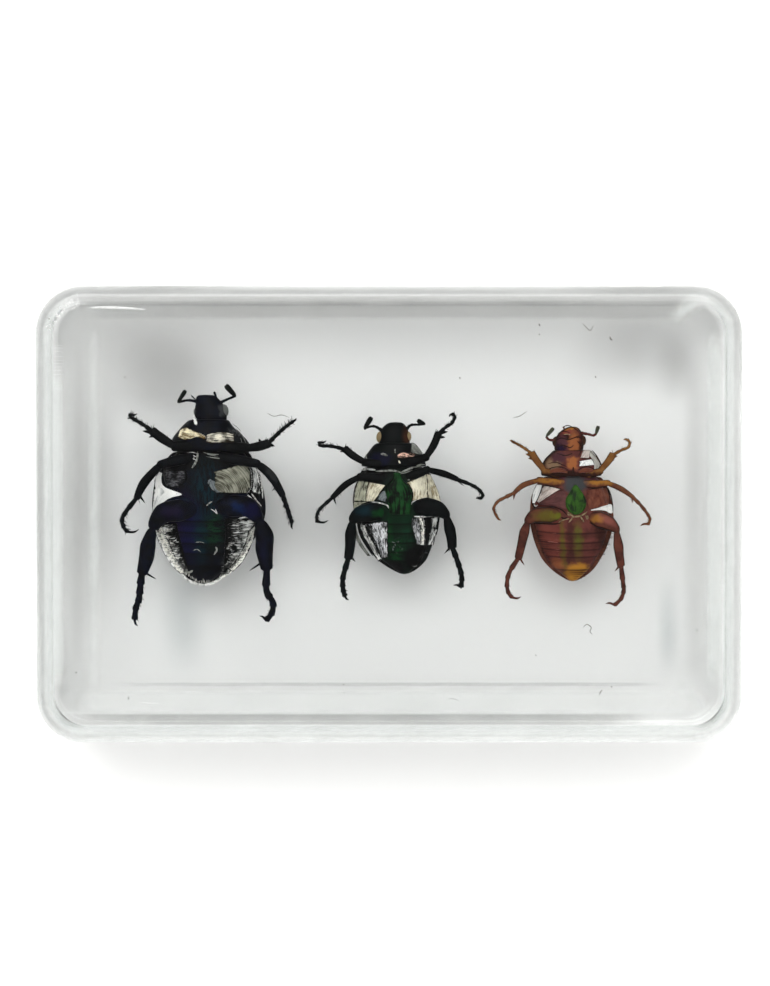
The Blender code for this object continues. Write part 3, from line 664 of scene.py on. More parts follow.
placeGroup, patchGroup, streakGroup = makePlaceGroup(), makePatchGroup(), makeStreakGroup()
grainGroup, seamGroup = makeGrainGroup(), makeSeamGroup()


def useGroup(tree, group, values):
    return addNode(tree, "Group", values, node_tree=group).outputs


def usePlace(tree, beetle=None):
    # millimetres round a beetle's middle, or in the whole block
    middle = Vector(beetle["place"]) * mm if beetle else (0, 0, 0)
    return useGroup(tree, placeGroup, {"Middle": middle})


# tints of the shells
tints = {
    "silver": (0.75, 0.75, 0.73), "grey": (0.16, 0.17, 0.17), "ash": (0.045, 0.047, 0.05),
    "black": (0.0012, 0.0012, 0.0016), "navy": (0.0035, 0.0035, 0.028), "violet": (0.008, 0.003, 0.022),
    "blue": (0.003, 0.011, 0.048), "teal": (0.002, 0.015, 0.022), "green": (0.0025, 0.038, 0.008),
    "moss": (0.002, 0.016, 0.006), "jade": (0.003, 0.026, 0.011), "leaf": (0.05, 0.17, 0.01),
    "lime": (0.15, 0.165, 0.013), "olive": (0.115, 0.085, 0.013), "amber": (0.42, 0.18, 0.022),
    "rust": (0.34, 0.11, 0.035), "brick": (0.22, 0.05, 0.035), "rose": (0.24, 0.075, 0.058),
    "plum": (0.075, 0.026, 0.034), "umber": (0.028, 0.009, 0.006), "sand": (0.33, 0.23, 0.13),
}
# metallic and roughness of the tints that aren't plain
tintShines = {"grey": (0.3, 0.4), "ash": (0.2, 0.45), "black": (0.0, 0.5), "umber": (0.0, 0.5)}
plainShine = (0.0, 0.45)
matt = 0.05        # specular level of all that lies in the resin


def shellMaterial(beetle, part, base, tint, patches=(), seams=(), bump=0.1, edge=None):
    # a shell with a base colour that wanders towards a tint, patches over it (a few of them painted highlights),
    # dark seams with painted shade behind them, and painted shade at the edges that turn away
    material, tree, shader = startMaterial(f"{beetle['name']} {part}")
    place = usePlace(tree, beetle)
    plain = place["Plain"]
    grain = useGroup(tree, grainGroup, {"Place": plain})
    colour = mixColour(tree, grain["Tone"], paint(base), paint(tint))
    rough, metallic = mixNumber(tree, grain["Tone"], 0.37, 0.47), 0.0
    for kind, shape, streaks in patches:
        mask = useGroup(tree, patchGroup, {"Place": place["Wavering"], **shape})["Mask"]
        if streaks:
            streaks = dict(zip(("Turn", "Across", "Along", "Share"), streaks), Place=plain)
            mask = times(tree, mask, useGroup(tree, streakGroup, streaks)["Mask"])
        shine, blur = tintShines.get(kind, plainShine)
        colour = mixColour(tree, mask, colour, paint(tints[kind]))
        rough = mixNumber(tree, mask, rough, blur)
        if shine or metallic:
            metallic = mixNumber(tree, mask, metallic, shine)
    for y in seams:
        # the seam itself and the soft shade behind it
        for down, width, share, shade in ((0, 0.17, 0.65, 0.12), (0.35, 0.7, 0.4, 0.4)):
            seam = useGroup(tree, seamGroup, {"Place": plain, "Y": y - down, "Bend": 0.012, "Width": width})
            colour = mixColour(tree, times(tree, seam["Mask"], share), colour, paint(base, shade))
    if edge:
        # painted shade: darker where the surface turns away from the view
        away = addNode(tree, "LayerWeight", {"Blend": 0.5}).outputs["Facing"]
        colour = mixColour(tree, softStep(tree, away, 0.1, 0.55), colour, paint(edge))
    feed(tree, shader, {"Base Color": colour, "Roughness": rough, "Metallic": metallic, "Specular IOR Level": matt,
                        "Normal": relief(tree, grain["Height"], bump, 0.05)})
    return material


def filmLook(dark, light, streaks, metal=0.0, **more):
    return {"dark": dark, "light": light, "streaks": streaks, "metal": metal, **more}


# looks of the films and plates: dark and light colour; the streaks' count across and along, share and
# softness; metallic; then how far the edges fray, their colour, patchiness, waning to one side, bend, and the
# middle of streaks that run in rings
looks = {
    "white": filmLook((0.42, 0.43, 0.44), (1, 1, 0.98), (7, 1.2, 0.42, 0.1), 0.2, fray=(0.08, 0.03), patchy=0.3),
    "silver": filmLook((0.0016, 0.0016, 0.0022), (0.92, 0.93, 0.91), (8, 5, 0.5, 0.05), 0.3, fray=(0.22, 0.06),
                       patchy=0.6),
    "creamy": filmLook((0.004, 0.004, 0.004), (1, 0.99, 0.92), (3, 34, 0.45, 0.06), 0.2, fray=(0.25, 0.04),
                       patchy=0.5, fringe=0.3),
    "tan": filmLook((0.04, 0.038, 0.026), (0.6, 0.6, 0.46), (16, 2.2, 0.47, 0.08), 0.2, fray=(0.1, 0.06),
                    rim=(0.01, 0.008, 0.005), patchy=0.5),
    "swirl": filmLook((0.03, 0.027, 0.018), (0.4, 0.4, 0.32), (9, 1.2, 0.505, 0.09), 0.2, fray=(0.07, 0.05),
                      patchy=0.3, fringe=0.1, around=(-27.8, 2.4)),
    "straw": filmLook((0.26, 0.205, 0.115), (0.84, 0.8, 0.64), (9, 2, 0.45, 0.12), 0.15, fray=(0.08, 0.05),
                      rim=(0.085, 0.06, 0.032), patchy=0.7),
    "mottle": filmLook((0.0014, 0.0014, 0.002), (0.8, 0.81, 0.84), (13, 4.5, 0.525, 0.05), 0.2, fray=(0.1, 0.05),
                       patchy=0.5, bend=1.2),
    "rays": filmLook((0.0014, 0.0014, 0.002), (0.86, 0.87, 0.84), (2.2, 40, 0.565, 0.05), 0.3, fray=(0.14, 0.03),
                     patchy=0.5, fringe=0.3, bend=0.5),
    "dusk": filmLook((0.002, 0.002, 0.003), (0.11, 0.11, 0.12), (3, 14, 0.54, 0.07), 0.2, fray=(0.15, 0.1),
                     patchy=0.6),
    "steel": filmLook((0.02, 0.026, 0.03), (0.19, 0.215, 0.225), (6, 3, 0.48, 0.1), 0.3, fray=(0.2, 0.12),
                      patchy=0.5),
    "gold": filmLook((0.12, 0.065, 0.012), (1, 0.92, 0.66), (5, 2, 0.49, 0.1), 0.3, fray=(0.14, 0.05),
                     rim=(0.03, 0.014, 0.003), patchy=0.7),
    "bronze": filmLook((0.014, 0.01, 0.006), (0.8, 0.76, 0.64), (9, 1.6, 0.5, 0.07), 0.3, fray=(0.12, 0.06),
                       rim=(0.01, 0.005, 0.002), patchy=0.7),
    "copper": filmLook((0.006, 0.003, 0.003), (0.88, 0.56, 0.44), (5, 4, 0.51, 0.05), 0.3, fray=(0.2, 0.08),
                       patchy=0.6),
    "haze": filmLook((0.05, 0.053, 0.046), (0.3, 0.31, 0.285), (4, 2, 0.46, 0.16), 0.1, fray=(0.12, 0.08),
                     rim=(0.03, 0.028, 0.024), patchy=0.5),
    "pearl": filmLook((0.26, 0.245, 0.215), (0.62, 0.6, 0.55), (3, 1.5, 0.46, 0.16), 0.1, fray=(0.1, 0.06),
                      rim=(0.075, 0.04, 0.024), patchy=0.5),
    "mauve": filmLook((0.26, 0.2, 0.175), (0.68, 0.6, 0.56), (6, 2, 0.46, 0.14), 0.1, fray=(0.07, 0.05),
                      rim=(0.05, 0.02, 0.014), patchy=0.5),
    "plum": filmLook((0.06, 0.021, 0.021), (0.13, 0.048, 0.046), (5, 2, 0.48, 0.2)),
    "russet": filmLook((0.08, 0.022, 0.015), (0.21, 0.068, 0.04), (5, 2, 0.48, 0.16)),
    "fern": filmLook((0.007, 0.012, 0.006), (0.034, 0.105, 0.012), (6, 1.5, 0.5, 0.12), patchy=0.9),
    "bottle": filmLook((0.001, 0.002, 0.0014), (0.008, 0.056, 0.013), (10, 1.6, 0.515, 0.06), patchy=0.7),
    "inkBlue": filmLook((0.0013, 0.0015, 0.0036), (0.003, 0.009, 0.03), (3, 1.5, 0.52, 0.2)),
    "ink": filmLook((0.0012, 0.0012, 0.0016), (0.0025, 0.0025, 0.0032), (3, 2, 0.5, 0.2)),
    # painted shade: dark outlines between parts and along films, and dark fine creases
    "soil": filmLook((0.012, 0.004, 0.003), (0.026, 0.009, 0.006), (3, 2, 0.5, 0.2)),
}


def filmMaterial(name, look):
    # streaks that follow the film's own shape, wane to one side and break up at its edges
    material, tree, shader = startMaterial(name)
    pattern = coordinates(tree, "UV")
    place = usePlace(tree)["Plain"]
    across, along, share, soft = look["streaks"]
    own = split(tree, pattern)
    lean = times(tree, minus(tree, 0.5, own["X"]), look.get("fringe", 0.0))
    wander = times(tree, minus(tree, 0.5, noise(tree, place, 0.8, 3.0)[0]), look.get("patchy", 0.4))
    share = plus(tree, plus(tree, lean, wander), share)
    if "around" in look:
        # rings round a point of the block
        moved = vectorMath(tree, "SUBTRACT", place, (*look["around"], 0))
        radius = vectorMath(tree, "LENGTH", vectorMath(tree, "MULTIPLY", moved, (1, 1, 0)))
        sides = split(tree, moved)
        angle = calc(tree, "ARCTAN2", sides["Y"], sides["X"])
        pattern = addNode(tree, "CombineXYZ", {"X": radius, "Y": angle}).outputs[0]
    masks = [useGroup(tree, streakGroup, {"Place": pattern, "Across": across * finer, "Along": along * finer,
                                          "Share": share, "Soft": soft * softer, "Bend": bend})["Mask"]
             for finer, softer, bend in ((1, 1, look.get("bend", 0.6)), (2.7, 1.5, 0.4))]
    mask = mixNumber(tree, 0.3, *masks)
    colour = mixColour(tree, mask, paint(look["dark"]), paint(look["light"]))
    if "fray" in look:
        ends = [calc(tree, "DIVIDE", toEdge(tree, own[axis]), width) for axis, width in zip("XY", look["fray"])]
        torn = times(tree, minus(tree, noise(tree, place, 1.8, 4.0, 0.65)[0], 0.5), 2.6)
        border = softStep(tree, plus(tree, calc(tree, "MINIMUM", *ends), torn), 0.25, 0.75)
        colour = mixColour(tree, border, paint(look.get("rim", (0.0016, 0.0016, 0.0022))), colour)
        mask = times(tree, mask, border)
    feed(tree, shader, {"Base Color": colour, "Metallic": look["metal"], "Roughness": 0.36,
                        "Specular IOR Level": matt, "Normal": relief(tree, mask, 0.4, 0.08)})
    return material


def lineMaterial(name, light, metal=0.0, worn=0.3):
    # creases, ridges, outlines and glints, some of them painted shade and some painted highlights: a light colour
    # with darker breaks
    material, tree, shader = startMaterial(name)
    breaks = softStep(tree, noise(tree, usePlace(tree)["Plain"], 2.2, 3.0)[0], 0.36, 0.54)
    feed(tree, shader, {"Base Color": mixColour(tree, breaks, paint(light, worn), paint(light)),
                        "Metallic": metal * 0.5, "Roughness": 0.4, "Specular IOR Level": matt})
    return material


def wingMaterial(beetle):
    # wing cases: rows of punctures along them, and the dark line where the two meet
    shell = beetle["shell"]
    dark, light = shell.get("wing", (shell["dark"], shell["tint"]))
    material, tree, shader = startMaterial(beetle["name"] + " wing cases")
    place = usePlace(tree, beetle)["Plain"]
    grain = useGroup(tree, grainGroup, {"Place": place, "Pits": 2.6})
    rows = useGroup(tree, streakGroup, {"Place": place, "Across": 1.5, "Along": 0.06, "Soft": 0.12,
                                        "Bend": 0.2})["Mask"]
    seam = useGroup(tree, patchGroup, {"Place": place, "X": beetle["scutellum"][0], "Y": -8.0, "Width": 0.1,
                                       "Length": 12.0, "Edge": 0.6})["Mask"]
    colour = mixColour(tree, grain["Tone"], paint(dark), paint(light))
    colour = mixColour(tree, times(tree, rows, 0.35), colour, paint(dark, 0.4))
    colour = mixColour(tree, seam, colour, paint(dark, 0.1))
    height = minus(tree, grain["Height"], plus(tree, rows, times(tree, seam, 2.0)))
    feed(tree, shader, {"Base Color": colour, "Roughness": 0.38, "Specular IOR Level": 0.08,
                        "Normal": relief(tree, height, 0.35, 0.06)})
    return material


def dress(piece, beetle, material):
    piece.data.materials.clear()
    piece.data.materials.append(material)
    settle(piece, beetle["place"])
    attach(piece, "root")
    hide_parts(beetle["name"])


def dressFilms(beetle, surface):
    # all films of one look make one piece, and so do all lines of one look
    name, made = beetle["name"], bpy.data.materials
    chance = random.Random(name + " films")
    films, lines = {}, {}
    for look, first, second, lift, dome in beetle["films"]:
        films.setdefault(look, []).append(layPlate(surface, flatRoute(first), flatRoute(second), lift, dome))
    for look, routes in beetle["lines"].items():
        lines[look] = [layLine(surface, route, width) for width, route in routes]
    for look, *shape in beetle["strokes"]:
        lines.setdefault(look, []).extend(layStrokes(surface, *shape, chance))
    for look, pieces in films.items():
        material = made.get(look + " film") or filmMaterial(look + " film", looks[look])
        dress(joinPieces(f"{name}_{look}_films", pieces), beetle, material)
    for look, routes in lines.items():
        tone = (tints[look], 0.0) if look in tints else (looks[look]["light"], looks[look]["metal"])
        material = made.get(look + " lines") or lineMaterial(look + " lines", *tone)
        dress(growLimbs(f"{name}_{look}_lines", routes, 0.5, 2), beetle, material)


def growEyes(beetle):
    eyes = []
    for x, y, radius in beetle["eyes"]:
        startPiece()
        bpy.ops.mesh.primitive_uv_sphere_add(segments=20, ring_count=12, radius=radius * build["eyeShare"],
                                             location=(x, y, build["eyeHeight"]))
        eye = bpy.context.object
        eye.scale = build["eyeShape"]
        bpy.ops.object.transform_apply()
        bpy.ops.object.shade_smooth()
        eyes.append(eye)
    return joinPieces(beetle["name"] + "_eyes", eyes)


def growBeetle(beetle):
    name, shell, marks = beetle["name"], beetle["shell"], beetle["patches"]
    bodies = []
    for part, sections in (
            ("wing_cases", hindSections(beetle, 0.0, build["wingSections"], belly=False)),
            ("belly", hindSections(beetle, build["rimWidth"], build["bellySections"])),
            ("chest", partSections(beetle, "chest")), ("head", partSections(beetle, "head"))):
        body = growBody(f"{name}_{part}", sections, build["headSides" if part == "head" else "bodySides"])
        applyModifier(body, "SUBSURF", levels=1, render_levels=1)
        bpy.ops.object.shade_smooth()
        bodies.append(body)
    wingCases, belly, chest, head = bodies
    surface = bodySurface(bodies)
    eyes = growEyes(beetle)
    pairs = growLegs(beetle)
    stalks, clubs = growAntennae(beetle)
    x, y, width, length = beetle["scutellum"]
    edges = [[Vector((x + width * across * side, y - length * down, 0))
              for across, down in ((0.5, 0), (0.36, 0.5), (0.02, 1))] for side in (-1, 1)]
    shield = layPlate(surface, *edges, 0.1, 0.15, (10, 14), side=-1)
    shield.name = name + "_scutellum"
    skin, edge = (shell["dark"], shell["tint"]), shell.get("edge")
    wingLook = wingMaterial(beetle)
    chestLook = shellMaterial(beetle, "chest", *skin, marks["chest"], edge=edge)
    for piece, material in (
            (wingCases, wingLook), (shield, wingLook),
            (belly, shellMaterial(beetle, "belly", *skin, marks["belly"], beetle["sutures"])),
            (chest, chestLook), (head, shellMaterial(beetle, "head", *skin, marks["head"], edge=edge, bump=0.3)),
            (eyes, shellMaterial(beetle, "eyes", shell["eye"], shell["eye"], bump=0.05)), (stalks, chestLook),
            (clubs, shellMaterial(beetle, "clubs", shell["club"], shell["club"]))):
        dress(piece, beetle, material)
    for pair, piece in zip(("front", "mid", "hind"), pairs):
        dress(piece, beetle, shellMaterial(beetle, pair + " legs", *shell[pair], marks[pair], edge=edge))
    dressFilms(beetle, surface)
    print(name, "grown")


def leg(femur, tibia, tarsus, claw, *teeth, tibiaWidths=None):
    # the thigh with its hip, the shin, the foot, the claw's tip, and each tooth's root and point
    return {"femur": numbers(femur), "tibia": numbers(tibia), "tarsus": numbers(tarsus), "claw": numbers(claw)[0],
            "teeth": [numbers(tooth) for tooth in teeth], "tibiaWidths": tibiaWidths}


def spot(tint, x, y, width, length, turn=0, edge=0.35, share=1, streaks=None):
    # a soft-edged patch of a tint; streaks are their turn, count across, count along and share
    return tint, {"X": x, "Y": y, "Width": width, "Length": length, "Turn": turn, "Edge": edge,
                  "Share": share}, streaks


# The three beetles, in millimetres round each one's middle. Outlines are y, left and right edge. Films have
# a look, a first and a second edge, a lift and a dome. Lines have a width and a route for each look. Strokes
# have a look, two edges, a count, a share of the way across and a width.
blueBeetle = {
    "name": "blue_beetle", "slot": "blue_black_shell", "place": (-28.8, 3.8, 11.5),
    "belly": 3.6, "back": 6, "chestBelly": 2.9, "chestBack": 4.6, "headBelly": 1.7, "headBack": 1.8,
    "head": numbers("14.9 -1.1 1.3, 14.4 -1.5 2, 13.6 -1.5 2.7, 12.4 -1.7 3.3, 10.9 -1.7 3.4, 9.4 -1.4 3.2"),
    "chest": numbers("11.1 -2.4 3.6, 10.1 -3.5 4.2, 9.2 -4.3 5.1, 8.2 -5.1 6.2, 7.1 -5.4 7, 5.9 -5.2 7.1"),
    "hindBody": numbers("6.2 -4.9 6.8, 4.3 -6.5 7.7, 2.8 -7.3 8.4, 1.1 -7.9 8.9, -0.8 -8.3 9.3, "
                        "-2.8 -8.4 9.5, -4.6 -8.1 9.3, -6.3 -7.7 8.5, -7.9 -7 7.6, -9.5 -6.2 6.6, "
                        "-11.2 -5.3 5.2, -12.8 -4 3.6, -14.1 -2.7 2, -14.9 -1.3 0.3"),
    "sutures": [-5.0, -6.8, -8.5, -10.1, -12.0],
    "eyes": numbers("-1.3 12.2 0.7, 2.9 12.3 1"), "scutellum": (1.2, 4.8, 2, 2.6),
    "femurWidths": {"front": [1.6, 1.9, 1.5], "mid": [1.5, 1.7, 1.3], "hind": [2.6, 3.5, 3.2, 1.5]},
    "tibiaWidths": {"front": [1.2, 1.5, 1.4], "mid": [1.2, 1.5, 1], "hind": [1.3, 2.5, 2.4, 1.6]},
    "tarsusWidths": {"front": [0.7, 0.5], "mid": [0.8, 0.6], "hind": [1.2, 0.9]},
    "bristles": (26, 0.85, 0.15),
    "legs": {
        "front_left": leg("-0.6 6.8, -3 6.8, -5.2 6.8", "-6.8 8.1, -8.4 9.3",
                          "-10 10.4, -11.4 11.2, -11.8 11.8", "-10.6 11.9", "-8.4 9, -9.8 9.2",
                          "-7.7 8.6, -8.8 8.2"),
        "front_right": leg("1.3 6.8, 4.3 6.6, 7 6.5", "8.5 6.8, 10.1 7.3", "12.1 9.4, 13.8 10.7", "14.3 11.2",
                           "9.9 7.2, 10.9 6.8", "8.8 7.2, 8.4 8"),
        "mid_left": leg("-1.1 5.1, -4.3 4.6, -7.4 3.8", "-9.5 1.1, -10.8 -1.5",
                        "-12.3 -3.3, -13 -4.6, -12.8 -5.8, -12.2 -6.6", "-10.4 -6.2", "-10.2 -1, -9.4 -2.1"),
        "mid_right": leg("0.9 5.4, 4.9 4.7, 8.7 4", "10.4 2.1, 12.3 -1.1", "13 -3.3, 13.6 -5.2", "13.7 -6.2",
                         "11.3 0.7, 10.5 -0.2"),
        "hind_left": leg("-0.5 -2.8, -4 -3.2, -6.6 -3.8, -8.4 -6.2", "-8.9 -8.7, -9.2 -10.7, -10 -13.4",
                         "-10.2 -15.3, -10.4 -17.1, -10.9 -18.6, -11.1 -20.4", "-10.6 -21.4",
                         "-9.4 -13, -7.7 -14"),
        "hind_right": leg("0.8 -2.8, 4.3 -2.5, 6.8 -2.8, 8.7 -4.9", "9.3 -7.1, 9.3 -9.5, 9.7 -12.8",
                          "9.6 -15.8, 10.6 -17.7, 10.4 -19.4, 9.5 -20.5", "8.5 -19.8", "8.9 -11.4, 6.9 -12.7",
                          "9.7 -11.5, 10.7 -11.9", tibiaWidths=[1.5, 2.9, 2.8, 1.7]),
    },
    "antennae": [
        ("-1.2 13.8, -2.7 14, -4.2 13.7", "-4.3 13.6, -3 15.6", 0.7),
        ("2.3 13.6, 3.6 14.2, 4.8 14.7", "4.8 14.6, 3.2 16.4", 0.9),
    ],
    "palps": [("-1.5 14.1, -2.2 14.8", 0.22), ("1.8 14.2, 1.4 15.4", 0.42)],
    "shell": {
        "dark": (0.0014, 0.0015, 0.0028), "tint": (0.0018, 0.003, 0.0085),
        "front": ((0.0012, 0.0013, 0.0018), (0.0022, 0.003, 0.0036)),
        "mid": ((0.0012, 0.0013, 0.0018), (0.0022, 0.003, 0.005)),
        "hind": ((0.0013, 0.0014, 0.003), (0.002, 0.003, 0.01)), "club": (0.006, 0.007, 0.006),
        "eye": (0.12, 0.125, 0.12),
    },
    "patches": {
        "belly": [spot("black", -1, 4.8, 7, 1.8),
                  spot("teal", 0.3, 0, 1.9, 3.8, edge=0.7, streaks=(0, 2.4, 0.6, 0.5)),
                  spot("violet", -3.6, -4.8, 1.8, 3.6, edge=0.7),
                  spot("navy", -2.2, -6.6, 1.8, 3.6, edge=0.7),
                  spot("teal", -0.6, -7.4, 1, 3.2, edge=0.7, streaks=(90, 1.4, 0.6, 0.42)),
                  spot("jade", 1.5, -6.4, 1.2, 2.3, edge=0.7, streaks=(90, 2.2, 0.7, 0.46)),
                  spot("ash", 4.4, -11.4, 1.6, 1.8, -40, streaks=(60, 2.5, 1.2, 0.5))],
        "chest": [spot("ash", -4.4, 8.6, 0.8, 1.4, -30, share=0.3),
                  spot("ash", 4.8, 8.6, 0.9, 1.2, 35, share=0.3)],
        "head": [spot("ash", 2.7, 12.4, 0.5, 0.8, 10, edge=0.5)],
        "front": [],
        "mid": [spot("ash", 10.4, 2.4, 0.4, 1.2, 40, share=0.4)],
        # the blue streak on the right hip plate is a painted sheen, and the navy line on the right hind shin a
        # painted highlight
        "hind": [spot("blue", 5.6, -2.9, 1.6, 0.6, -32, edge=0.8),
                 spot("navy", 7.3, -3.2, 1.2, 1.2, edge=0.7),
                 spot("navy", 9.2, -9.4, 0.5, 2, edge=0.8, share=0.3),
                 spot("violet", -5, -3.4, 1.6, 0.9, edge=0.7, share=0.6)],
    },
    "films": [
        ("gold", "-4.2 8.3, -3.6 7.9, -2.4 7.9, -1.2 8.3, 0.1 7.9",
         "-3.9 9.3, -2.9 9.7, -1.9 9.3, -1 8.9, 0.2 8.3", 0.06, 0.1),
        ("bronze", "0.2 7.5, 1.5 7.3, 3 7.4, 4.6 7.4", "0.3 8.6, 1.5 8.9, 3 9, 4.6 8.7", 0.06, 0.1),
        ("dusk", "3.3 9, 4.6 8.5, 5.5 8", "3.5 9.7, 4.6 9.3, 5.8 8.5", 0.05, 0),
        ("white", "-7.2 2.9, -7.8 1.9, -8 0.9, -8.1 0, -8.15 -1.2, -8.2 -2.6, -8.3 -4.3",
         "-6.7 2.7, -6.7 1.2, -5.9 0.25, -3.4 -0.7, -5.4 -1.35, -7 -2.6, -8 -4.2", 0.06, 0),
        ("dusk", "-6.5 3.3, -6.4 1.8, -6 0.6", "-2.9 3, -2.8 1.6, -4.2 0.3", 0.05, 0.1),
        ("swirl", "1.4 2.8, 1.6 2.3, 1.5 1.5, 1.4 0.8, 1.6 0.1, 2.2 -0.45",
         "6.5 4.2, 7 3.2, 7.2 2.1, 7.2 1, 7 0.1, 6.5 -0.5", 0.08, 0.15),
        ("steel", "0.8 1.8, 0.4 1.2, 0.9 0.2, 2 -0.6", "1.5 1.5, 1.9 1, 2.1 0.3, 3.2 -0.5", 0.1, 0),
        ("silver", "6.7 4.2, 7.3 2.6, 7.4 1, 7.2 -0.4", "7.5 4.2, 8.2 2.6, 8.6 1, 8.8 -0.9", 0.06, 0),
        ("inkBlue", "2 -2.2, 2.8 -1.2, 4.6 -0.7, 6.3 -0.7, 7.4 -1.9",
         "2.2 -3.4, 3.4 -3.9, 5.2 -4.1, 6.7 -4.2, 8 -3.9", 0.1, 0.25),
        ("inkBlue", "-8.2 -4, -7 -2.4, -5 -1.2, -3.2 -1.1, -1.9 -1.7",
         "-8 -4.8, -6.6 -4.9, -5 -4.8, -3.2 -4.5, -1.8 -3.9", 0.1, 0.25),
        ("rays", "3.2 -4.4, 3.2 -7, 3.1 -9.6, 2.8 -13.2", "7.9 -4.6, 7.3 -7, 6.1 -9.9, 3.6 -13.2", 0.06, 0),
        ("rays", "-4.4 -5.2, -3.9 -7.6, -3.2 -10.2, -2.6 -12.8", "-7.7 -5.6, -6.6 -8.4, -5.3 -10.8, -3.7 -13",
         0.06, 0),
        ("creamy", "-6.6 -6.4, -5.6 -8.3, -4.9 -10, -4.1 -11.6, -3.1 -12.6",
         "-7.9 -6.7, -7.3 -8.3, -6.4 -10.2, -5.3 -11.9, -3.9 -13.3", 0.09, 0),
        ("creamy", "6.7 -6.4, 6.4 -7.8, 5.7 -9.4, 4.6 -11.2, 3.5 -12.4",
         "7.9 -5.4, 7.6 -7.4, 7 -9.2, 5.8 -11.4, 4.3 -12.9", 0.09, 0),
    ],
    "lines": {
        # the first white line, by the head's left side, is a painted glint
        "white": [(0.55, "-1.7 11.7, -1.55 11, -1.3 10.1"), (0.26, "2 7.95, 3 8.05, 4.1 8.35"),
            (0.22, "5.4 4.3, 6.1 4.5, 7 4.7"), (0.42, "7.5 4, 8 2.6, 8.3 1.2, 8.6 -0.7"),
            (0.42, "6.7 -0.8, 7.4 -1.7, 8.1 -2.9, 8.8 -4"), (0.16, "7.2 -1.6, 7.9 -2.6, 8.5 -3.9"),
            (0.24, "-7.5 -5.5, -6.9 -5.05, -6.2 -4.95, -5.8 -5.15"),
            (0.22, "5.2 -4.5, 6.2 -4.3, 7.1 -4.35, 7.8 -4.8, 8.1 -5.4"), (0.26, "8.1 -5.3, 7.7 -6, 7.3 -6.8"),
            (0.46, "-3.7 -13.2, -2.6 -14.3, -0.9 -14.75, 0.9 -14.75, 2.4 -13.9, 3.6 -13.2"),
            (0.3, "3.4 -13.3, 4.5 -12.4, 5.4 -11.4"),
            (0.4, "-7.75 -6.3, -7.2 -8, -6.3 -9.9, -5.25 -11.6, -4 -13"),
            (0.3, "7.55 -6.8, 7 -8.6, 6.1 -10.4, 5 -12, 3.9 -13"), (0.3, "-6.2 -10.4, -5.6 -10.6, -5.1 -11"),
            (0.26, "-4.9 -12.3, -4.2 -12.2, -3.6 -12.5")],
        "creamy": [(0.55, "-3.9 8.3, -3 8.45, -2.3 8.5"), (0.2, "-2.2 9.2, -1 8.85, 0.1 8.3, 0.5 7.7")],
        "silver": [(0.22, "-4.8 7.2, -4.3 7.35, -3.8 7.2"), (0.12, "-5 5.15, -3.4 5.35, -2.2 5, -1.3 4.65"),
            (0.12, "-3.4 5.45, -2.2 5.5, -1.2 5.1"), (0.12, "-2.8 5.85, -1.8 5.85, -1.1 5.6"),
            (0.24, "8 3.6, 8.6 2, 8.9 0.4, 9 -1.4"), (0.25, "7.3 -0.6, 8 -1.6, 8.8 -2.6"),
            (0.12, "1 -3, 1.5 -3.3, 2 -3.8"), (0.12, "1.7 -2.9, 1.8 -3.3, 2 -3.7"),
            (0.14, "-7.1 -6.8, -6.4 -6.4, -5.7 -6.4"), (0.12, "5.6 -4.9, 6.6 -4.8, 7.4 -5.2"),
            (0.18, "-6.9 -7.6, -6.2 -7.9, -5.8 -8.5")],
        "haze": [(0.34, "-1.1 6, -1.15 5, -1.5 4.1, -2 3.4"), (0.14, "-0.3 5.9, 0.8 5.6, 2.4 5.5, 3.4 5.4"),
            (0.15, "4.8 9.6, 5.8 8.5, 6.4 7.3"), (0.1, "4.3 10.3, 5.1 9.7, 5.6 9.1"),
            (0.09, "5.2 8.7, 5.6 8, 5.8 7.4"), (0.13, "0.2 5.2, 1.6 5, 3.2 4.9, 4.9 5.3"),
            (0.1, "0.4 5.55, 2 5.25, 3.6 5.2, 4.8 5.15"), (0.16, "-7.6 3.8, -7.1 3.5, -6.9 3.2"),
            (0.22, "0.3 -2.5, 0.7 -2.1, 1.2 -1.8"), (0.2, "-8.5 -6.2, -7.7 -5.9, -7.1 -6.2, -6.8 -6.7"),
            (0.35, "-3.3 -12.8, -2.4 -12.9, -1.9 -12.6"), (0.12, "-1.4 -8.2, -0.7 -8.15, 0 -8.3"),
            (0.14, "-1.9 -9.5, -1.2 -9.3, -0.6 -9.7"), (0.28, "1.4 -10.2, 1.9 -9.4, 1.7 -8.9")],
    },
    "strokes": [
        ("creamy", "3 -4.6, 3 -7, 2.9 -9.6, 2.4 -13", "8 -4.9, 7.5 -7, 6.4 -9.7, 3.8 -13.2", 76, 0.55, 0.15),
        ("silver", "2.6 -4.6, 2.6 -7, 2.6 -9.6, 2.2 -13", "6.4 -4.9, 5.8 -7, 5 -9.7, 3 -13", 50, 0.75, 0.09),
        ("creamy", "-3.6 -5.4, -3.4 -7.8, -3 -10.4, -2 -13.2", "-7.7 -6.3, -7 -8.4, -5.9 -10.6, -4 -13.1", 64,
         0.6, 0.16),
        ("creamy", "-3 -11.6, -0.8 -12.6, 1.6 -12.6, 3.4 -11.8", "-3.6 -13.3, -1 -14.7, 1.2 -14.7, 3.6 -13.2",
         44, 0.4, 0.08),
        ("silver", "5.4 3.2, 5.6 2.2, 5.6 1, 4.4 -0.2", "7.4 4.1, 7.7 2.4, 7.6 0.8, 7 -0.6", 34, 0.8, 0.1),
        ("white", "7.5 3.6, 7.9 2, 8 0.8, 8.1 -0.6", "8.3 3.4, 8.6 2, 8.8 0.6, 8.9 -1", 24, 0.8, 0.13),
        ("silver", "-4.6 5.9, -3.4 6, -2.2 6, -1 5.9", "-5.6 5, -4 4.9, -2.4 4.8, -1.2 4.5", 16, 0.6, 0.07),
        ("gold", "0.4 7.6, 1.6 7.6, 3 7.6, 4.4 7.6", "0.6 8.5, 1.8 8.8, 3.2 8.9, 4.8 8.5", 18, 0.8, 0.08),
    ],
}

